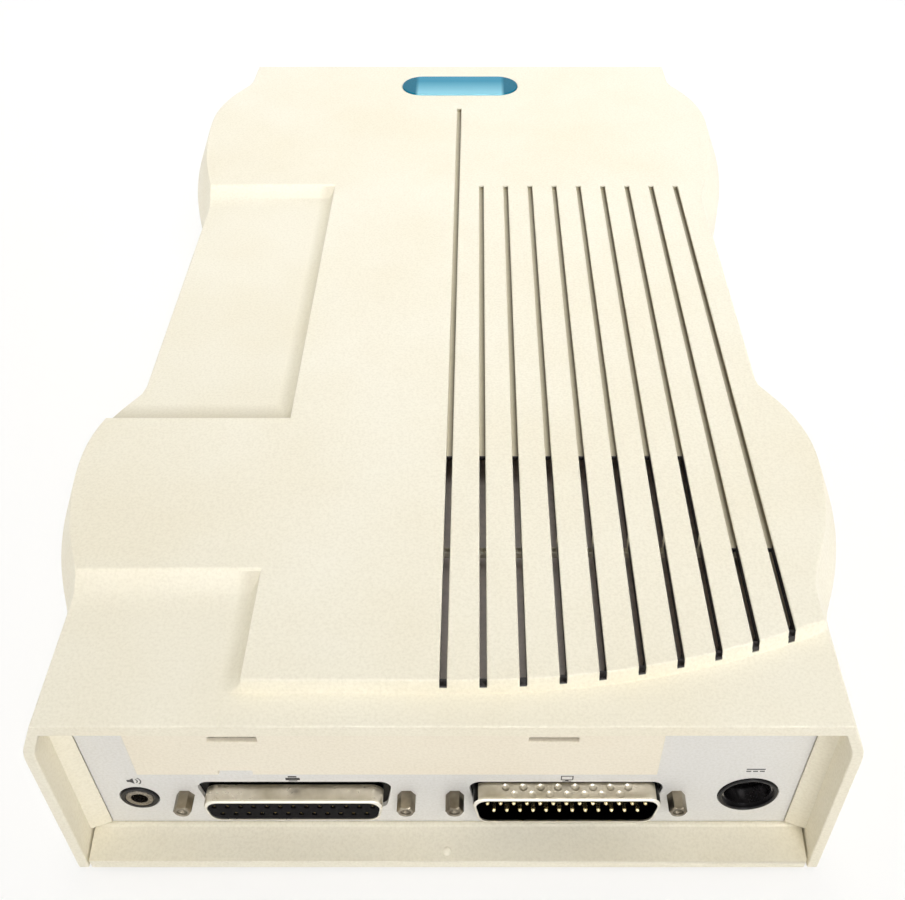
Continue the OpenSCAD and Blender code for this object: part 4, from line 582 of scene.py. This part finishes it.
# Pins and contacts: thirteen over twelve turned brass pins, plated, with rounded tips, and the
# sleeves that take them in the other port. Both are pressed into the black blocks.
def rows_of_shapes():
    """Tree that sets one shape out in rows: a number across and a number of rows."""
    tree = bpy.data.node_groups.new("rows_of_shapes", "GeometryNodeTree")
    for name, kind in (("Shape", "Geometry"), ("Across", "Int"), ("Step", "Vector"), ("Rows", "Int"),
                       ("Row step", "Vector"), ("Finish", "Material")):
        tree.interface.new_socket(name, in_out="INPUT", socket_type="NodeSocket" + kind)
    tree.interface.new_socket("Rows of it", in_out="OUTPUT", socket_type="NodeSocketGeometry")
    given = tree.nodes.new("NodeGroupInput")
    shape = given.outputs["Shape"]
    for count, step in (("Across", "Step"), ("Rows", "Row step")):
        line = tree.nodes.new("GeometryNodeMeshLine")
        tree.links.new(given.outputs[count], line.inputs["Count"])
        tree.links.new(given.outputs[step], line.inputs["Offset"])
        copies = tree.nodes.new("GeometryNodeInstanceOnPoints")
        tree.links.new(line.outputs["Mesh"], copies.inputs["Points"])
        tree.links.new(shape, copies.inputs["Instance"])
        shape = copies.outputs["Instances"]
    real = tree.nodes.new("GeometryNodeRealizeInstances")
    tree.links.new(shape, real.inputs["Geometry"])
    finished = tree.nodes.new("GeometryNodeSetMaterial")
    tree.links.new(real.outputs["Geometry"], finished.inputs["Geometry"])
    tree.links.new(given.outputs["Finish"], finished.inputs["Material"])
    result = tree.nodes.new("NodeGroupOutput")
    tree.links.new(finished.outputs["Geometry"], result.inputs[0])
    return tree


row_tree = rows_of_shapes()
row_inputs = {item.name: item.identifier for item in row_tree.interface.items_tree
              if item.item_type == "SOCKET" and item.in_out == "INPUT"}


def in_rows(mesh, material, across, step, rows=1, row_step=(0.0, 0.0, 0.0)):
    """The shape set out by the tree, as a plain mesh."""
    holder = bpy.data.objects.new("rows", mesh)
    scene.collection.objects.link(holder)
    rows_made = holder.modifiers.new("rows", "NODES")
    rows_made.node_group = row_tree
    values = {"Across": across, "Step": step, "Rows": rows, "Row step": row_step, "Finish": material}
    for name, value in values.items():
        rows_made[row_inputs[name]] = value
    made = bpy.data.meshes.new_from_object(holder.evaluated_get(bpy.context.evaluated_depsgraph_get()))
    bpy.data.objects.remove(holder)
    return made


def joined(name, meshes):
    """Several meshes as one."""
    whole = bmesh.new()
    for mesh in meshes:
        whole.from_mesh(mesh)
    made = bpy.data.meshes.new(name)
    whole.to_mesh(made)
    whole.free()
    return made


def turned(x, z, profile, sides=12):
    """Rings about a line along Y, from pairs of a place along it and a radius, in mm."""
    turns = [math.tau * k / sides for k in range(sides)]
    return [[((x + r * math.cos(t)) * MM, y * MM, (z + r * math.sin(t)) * MM) for t in turns]
            for y, r in profile]


CONTACT_PITCH = 2.77
ROW_GAP = 2.84
PIN_PROFILE = ((-133.28, 0.12), (-133.2, 0.27), (-133.03, 0.4), (-132.7, 0.49), (-132.4, 0.5),
               (-125.8, 0.5))
SLEEVE_PROFILE = ((-129.2, 0.4), (-133.1, 0.4), (-133.35, 0.47), (-133.35, 0.56), (-129.2, 0.56))
pin_brass = plated("pin_brass", tint(236, 222, 178), tint(214, 196, 146), rough=(0.18, 0.32)).material


def contact_rows(name, x, profile):
    """Thirteen turned contacts over twelve, about the middle of a port."""
    step = (CONTACT_PITCH * MM, 0.0, 0.0)
    upper = lofted(name, turned(x - 6 * CONTACT_PITCH, PORT_Z + ROW_GAP / 2, profile))
    lower = lofted(name, turned(x - 5.5 * CONTACT_PITCH, PORT_Z - ROW_GAP / 2, profile))
    return joined(name, [in_rows(upper, pin_brass, 13, step), in_rows(lower, pin_brass, 12, step)])


plug_pins = contact_rows("plug_pins", PIN_PORT_X, PIN_PROFILE)
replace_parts(add_piece("plug_pins", plug_pins, "case", pin_brass), "port_pins")
socket_sleeves = contact_rows("socket_sleeves", SOCKET_PORT_X, SLEEVE_PROFILE)
add_piece("socket_sleeves", socket_sleeves, "case", pin_brass)


# Jackscrews: hexagon posts of plated steel that clamp the ports to the panel. A plug's own screws
# go into their tapped ends, which are chamfered.
JACK_PITCH = 47.04
HEX_R = 1.95
JACK_END = -134.3
JACK_CHAMFER = 0.3
JACK_FACE = ((JACK_END, 1.25), (JACK_END, 1.6))
SHANK_R = 1.4
SHANK_END = -123.6
TAP_R = 1.1
TAP_L = 3.5
TAP_TIP = 0.3
THREAD = 0.32
THREAD_DEPTH = 0.16
SIDES = 24


def six_sided(turn):
    """Radius of a hexagon of HEX_R, with a corner at 0, at a turn."""
    part = (turn + math.pi / 6) % (math.pi / 3) - math.pi / 6
    return HEX_R * math.cos(math.pi / 6) / math.cos(math.pi / 6 - abs(part))


def jackscrew(x):
    """Rings from the bottom of the tapped hole out to the mouth, over the hexagon and along the shank."""
    bottom = JACK_END + TAP_L
    threads = [(bottom - THREAD * k / 2, TAP_R - THREAD_DEPTH * (1 - k % 2))
               for k in range(int(2 * TAP_L / THREAD) - 1)]
    mouth = ((JACK_END + JACK_CHAMFER / 2, TAP_R),) + JACK_FACE
    rings = turned(x, PORT_Z, [(bottom, TAP_TIP), *threads, *mouth], SIDES)
    corners = [(six_sided(t) * math.cos(t), six_sided(t) * math.sin(t))
               for t in (math.tau * k / SIDES for k in range(SIDES))]
    for y in (JACK_END + JACK_CHAMFER, PANEL_Y):
        rings.append([((x + a) * MM, y * MM, (PORT_Z + b) * MM) for a, b in corners])
    shank = turned(x, PORT_Z, ((PANEL_Y, SHANK_R), (SHANK_END, SHANK_R)), SIDES)
    return lofted("jackscrew", rings + shank, 28.0)


jack_steel = plated("jack_steel", tint(158, 149, 132), tint(104, 96, 82), rough=(0.28, 0.45)).material
jacks = in_rows(jackscrew(SOCKET_PORT_X - JACK_PITCH / 2), jack_steel, 2, (JACK_PITCH * MM, 0.0, 0.0),
                2, ((PIN_PORT_X - SOCKET_PORT_X) * MM, 0.0, 0.0))
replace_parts(add_piece("hex_posts", jacks, "case", jack_steel), "jackscrews")


# Sound and power sockets: black moulded bodies on the board whose rims show in round holes of
# the panel. The sound socket has a bright sleeve, the power socket a dark ring in its well.
rim_finish = moulded("rim_black", tint(26, 25, 26), tint(23, 22, 23), 0.0009, 0.000008, (0.18, 0.26))
rim_black = rim_finish.shade(Specular_IOR_Level=0.22)
for node, name in (("sound_socket", "sound_rim"), ("power_socket", "power_rim")):
    stand_for(soft_edges(node, name, 0.3 * MM, 3, 45.0), node, "case", rim_black)
bright_ring = plated("bright_ring", tint(158, 151, 142), tint(126, 119, 110), rough=(0.2, 0.34)).material
dress("sound_socket_sleeve", bright_ring)
dark_ring = plated("dark_ring", tint(150, 147, 148), tint(122, 119, 120), rough=(0.2, 0.3)).material
dress("power_socket_shield", dark_ring)


# Interface board: green glass-fibre board with etched tracks under its lacquer, black moulded
# chips and headers, three capacitors in printed sleeves and, over it all, a zinc-plated screen
# on which dust from the vents has settled.
BOARD_TRACK = 1.3 * MM
TRACK_HALF = 0.28 * MM
board_green = Finish("board_green")
run_x, run_y = board_green.along(0), board_green.along(1)
patch = board_green.noise(60.0, 0.0) > 0.5
track_x, track_y = (run.to_and_fro(BOARD_TRACK) < TRACK_HALF for run in (run_x, run_y))
track = patch * track_x + (1.0 - patch) * track_y
lacquer = board_green.mix(board_green.noise(300.0, 3.0), tint(38, 98, 62), tint(30, 84, 54))
board_green.shade(Base_Color=board_green.mix(track, lacquer, tint(70, 134, 84)), Roughness=0.35,
                  Normal=board_green.bump(track, 0.4, 0.00004))
for node in ("interface_board", "drive_board", "front_board"):
    dress(node, board_green.material)
screen_zinc = plated("screen_zinc", tint(186, 184, 180), tint(168, 166, 162), rough=(0.4, 0.55))
settled = screen_zinc.between(screen_zinc.noise(520.0, 4.0, 0.7), 0.3, 0.62, 0.5, 1.0)
screen_zinc.shade(Base_Color=screen_zinc.mix(settled, screen_zinc.colour, tint(212, 202, 194)),
                  Metallic=1.0 - settled)
dress("screen_plate", screen_zinc.material)
chip_black = moulded("chip_black", tint(38, 38, 40), tint(30, 30, 32), 0.0004, 0.00002, (0.5, 0.65)).material
for node in ("interface_chips", "drive_chips"):
    dress(node, chip_black)
header_black = moulded("header_black", tint(30, 30, 31), tint(24, 24, 25), 0.0005, 0.00002, (0.4, 0.55))
for node in ("interface_headers", "drive_sockets", "ribbon_plugs", "eject_switch", "volume_control"):
    dress(node, header_black.material)
sleeve = Finish("capacitor_sleeve")
CAN_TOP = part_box("interface_capacitors")[1][2]
can_end = sleeve.along(2) > CAN_TOP - 0.4 * MM
film = sleeve.mix(sleeve.noise(500.0, 3.0), tint(44, 52, 66), tint(36, 42, 56))
sleeve.shade(Base_Color=sleeve.mix(can_end, film, tint(206, 206, 204)), Metallic=can_end,
             Roughness=sleeve.between(sleeve.noise(900.0), 0.3, 0.7, 0.3, 0.45))
dress("interface_capacitors", sleeve.material)


# Cables: a grey flat cable of forty cores folded from the board to the drive, with its two plugs,
# and the round power and sound leads beside it.
CORE_PITCH = 1.27 * MM
ribbon_grey = Finish("ribbon_grey")
ridge = ribbon_grey.between(ribbon_grey.along(0).to_and_fro(CORE_PITCH / 2), 0.0, CORE_PITCH / 2)
ribbon_grey.shade(Base_Color=ribbon_grey.mix(ridge, tint(146, 146, 148), tint(178, 178, 180)),
                  Roughness=ribbon_grey.between(ribbon_grey.noise(700.0), 0.3, 0.7, 0.42, 0.56),
                  Normal=ribbon_grey.bump(ridge, 0.8, 0.0003))
dress("ribbon_cable", ribbon_grey.material)
dress("power_lead", moulded("lead_yellow", tint(214, 176, 54), tint(196, 158, 44), rough=(0.4, 0.5)).material)
dress("sound_lead", moulded("lead_grey", tint(96, 96, 98), tint(84, 84, 86), rough=(0.4, 0.5)).material)


# Drive body: folded sheet steel with a bright zinc film, a flat lid pressed over the chassis and
# small motors in drawn steel cans.
sheet_zinc = plated("sheet_zinc", tint(192, 194, 194), tint(172, 174, 174), (0.06, 1.0, 1.0), (0.3, 0.46))
for node in ("drive_chassis", "drive_lid"):
    dress(node, sheet_zinc.material)
can_steel = plated("can_steel", tint(176, 176, 174), tint(152, 152, 150), (1.0, 1.0, 0.08), (0.24, 0.4))
for node in ("loading_motor", "sled_motor", "spindle_motor"):
    dress(node, can_steel.material)
rod_steel = plated("rod_steel", tint(200, 200, 198), tint(182, 182, 180), (1.0, 0.05, 1.0), (0.14, 0.26))
for node in ("guide_rods", "lead_screw"):
    dress(node, rod_steel.material)


# Drive front: the drive's own moulded bezel in the case's ivory, with the tray's front, the eject
# button, the volume wheel, the headphone socket and a green light. Printed signs are plain.
front_ivory = moulded("front_ivory", tint(244, 236, 214), tint(239, 229, 204)).material
front_bezel = soft_edges("drive_bezel", "front_bezel", 0.35 * MM)
stand_for(front_bezel, "drive_bezel", "case", front_ivory)
tray_flap = soft_edges("tray_front", "tray_flap", 0.6 * MM, 3)
stand_for(tray_flap, "tray_front", "tray", front_ivory)
eject_key = soft_edges("eject_button", "eject_key", 0.4 * MM, 3)
stand_for(eject_key, "eject_button", "eject", front_ivory)
dress("volume_wheel", moulded("wheel_grey", tint(70, 72, 74), tint(60, 62, 64), rough=(0.5, 0.62)).material)
headphone_rim = soft_edges("headphone_socket", "headphone_rim", 0.25 * MM, 3, 45.0)
stand_for(headphone_rim, "headphone_socket", "case", rim_black)
lens_green = moulded("light_green", tint(80, 176, 96), tint(62, 156, 80), rough=(0.12, 0.2)).material
dress("activity_light", lens_green)
BEZEL_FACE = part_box("drive_bezel")[1][1]
EJECT_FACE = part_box("eject_button")[1][1]
front_ink = moulded("front_ink", tint(92, 94, 96), tint(104, 106, 108), rough=(0.5, 0.6)).material
eject_sign = [[(-1.3, -0.2), (1.3, -0.2), (0.0, 1.3)], bar(0, -0.85, 2.6, 0.5)]
headphones = [arc_band(1.5, 0.3, 0, 180, 12), bar(-1.35, -0.45, 0.7, 1.2), bar(1.35, -0.45, 0.7, 1.2)]
louder = [[(-3.2, -0.15), (3.2, -0.15), (-3.2, 0.75)]]
printed("eject_sign", moved(-55, 18.5, eject_sign), EJECT_FACE, 1, "eject", front_ink)
front_signs = moved(60, 25.6, headphones) + moved(44, 24.2, louder)
printed("front_signs", front_signs, BEZEL_FACE, 1, "case", front_ink)


# Tray and loader: a dark grey moulded tray with two round hollows for a disc, driven by its rack
# from a white gear, a belt and a motor pulley on the loader's frame.
tray_grey = moulded("tray_grey", tint(88, 89, 90), tint(78, 79, 80), 0.0005, 0.00003, (0.5, 0.62)).material
tray_pan = soft_edges("disc_tray", "tray_pan", 0.2 * MM)
stand_for(tray_pan, "disc_tray", "tray", tray_grey)
frame_black = moulded("frame_black", tint(48, 48, 50), tint(40, 40, 42), depth=0.00003, rough=(0.5, 0.62))
for node in ("loader_frame", "traverse_deck", "clamp_bridge"):
    dress(node, frame_black.material)
gear_white = moulded("gear_white", tint(232, 230, 222), tint(222, 218, 206), depth=0.00002,
                     rough=(0.35, 0.45))
for node in ("loading_gear", "lift_slider", "clamp_puck"):
    dress(node, gear_white.material)
dress("motor_pulley", moulded("pulley_white", tint(224, 222, 214), tint(212, 208, 198)).material)
belt_rubber = moulded("belt_rubber", tint(30, 30, 30), tint(24, 24, 24), 0.0005, 0.00003, (0.7, 0.8))
dress("loading_belt", belt_rubber.material)


# Pickup: the turntable that carries the disc, and the die-cast sled with its coated lens. The sled
# slides on two ground rods, driven by the lead screw of a small motor.
dress("turntable", moulded("turntable_black", tint(40, 40, 42), tint(32, 32, 34), rough=(0.4, 0.5)).material)
sled_grey = plated("sled_grey", tint(150, 152, 154), tint(130, 132, 134), rough=(0.42, 0.58))
dress("optical_sled", sled_grey.material)
glass = Finish("lens_glass")
coating = glass.mix(glass.noise(400.0, 2.0), tint(120, 110, 190), tint(90, 130, 200))
polish = glass.between(glass.noise(800.0), 0.3, 0.7, 0.04, 0.1)
glass.shade(Base_Color=coating, Roughness=polish, Coat_Weight=1.0)
dress("lens", glass.material)
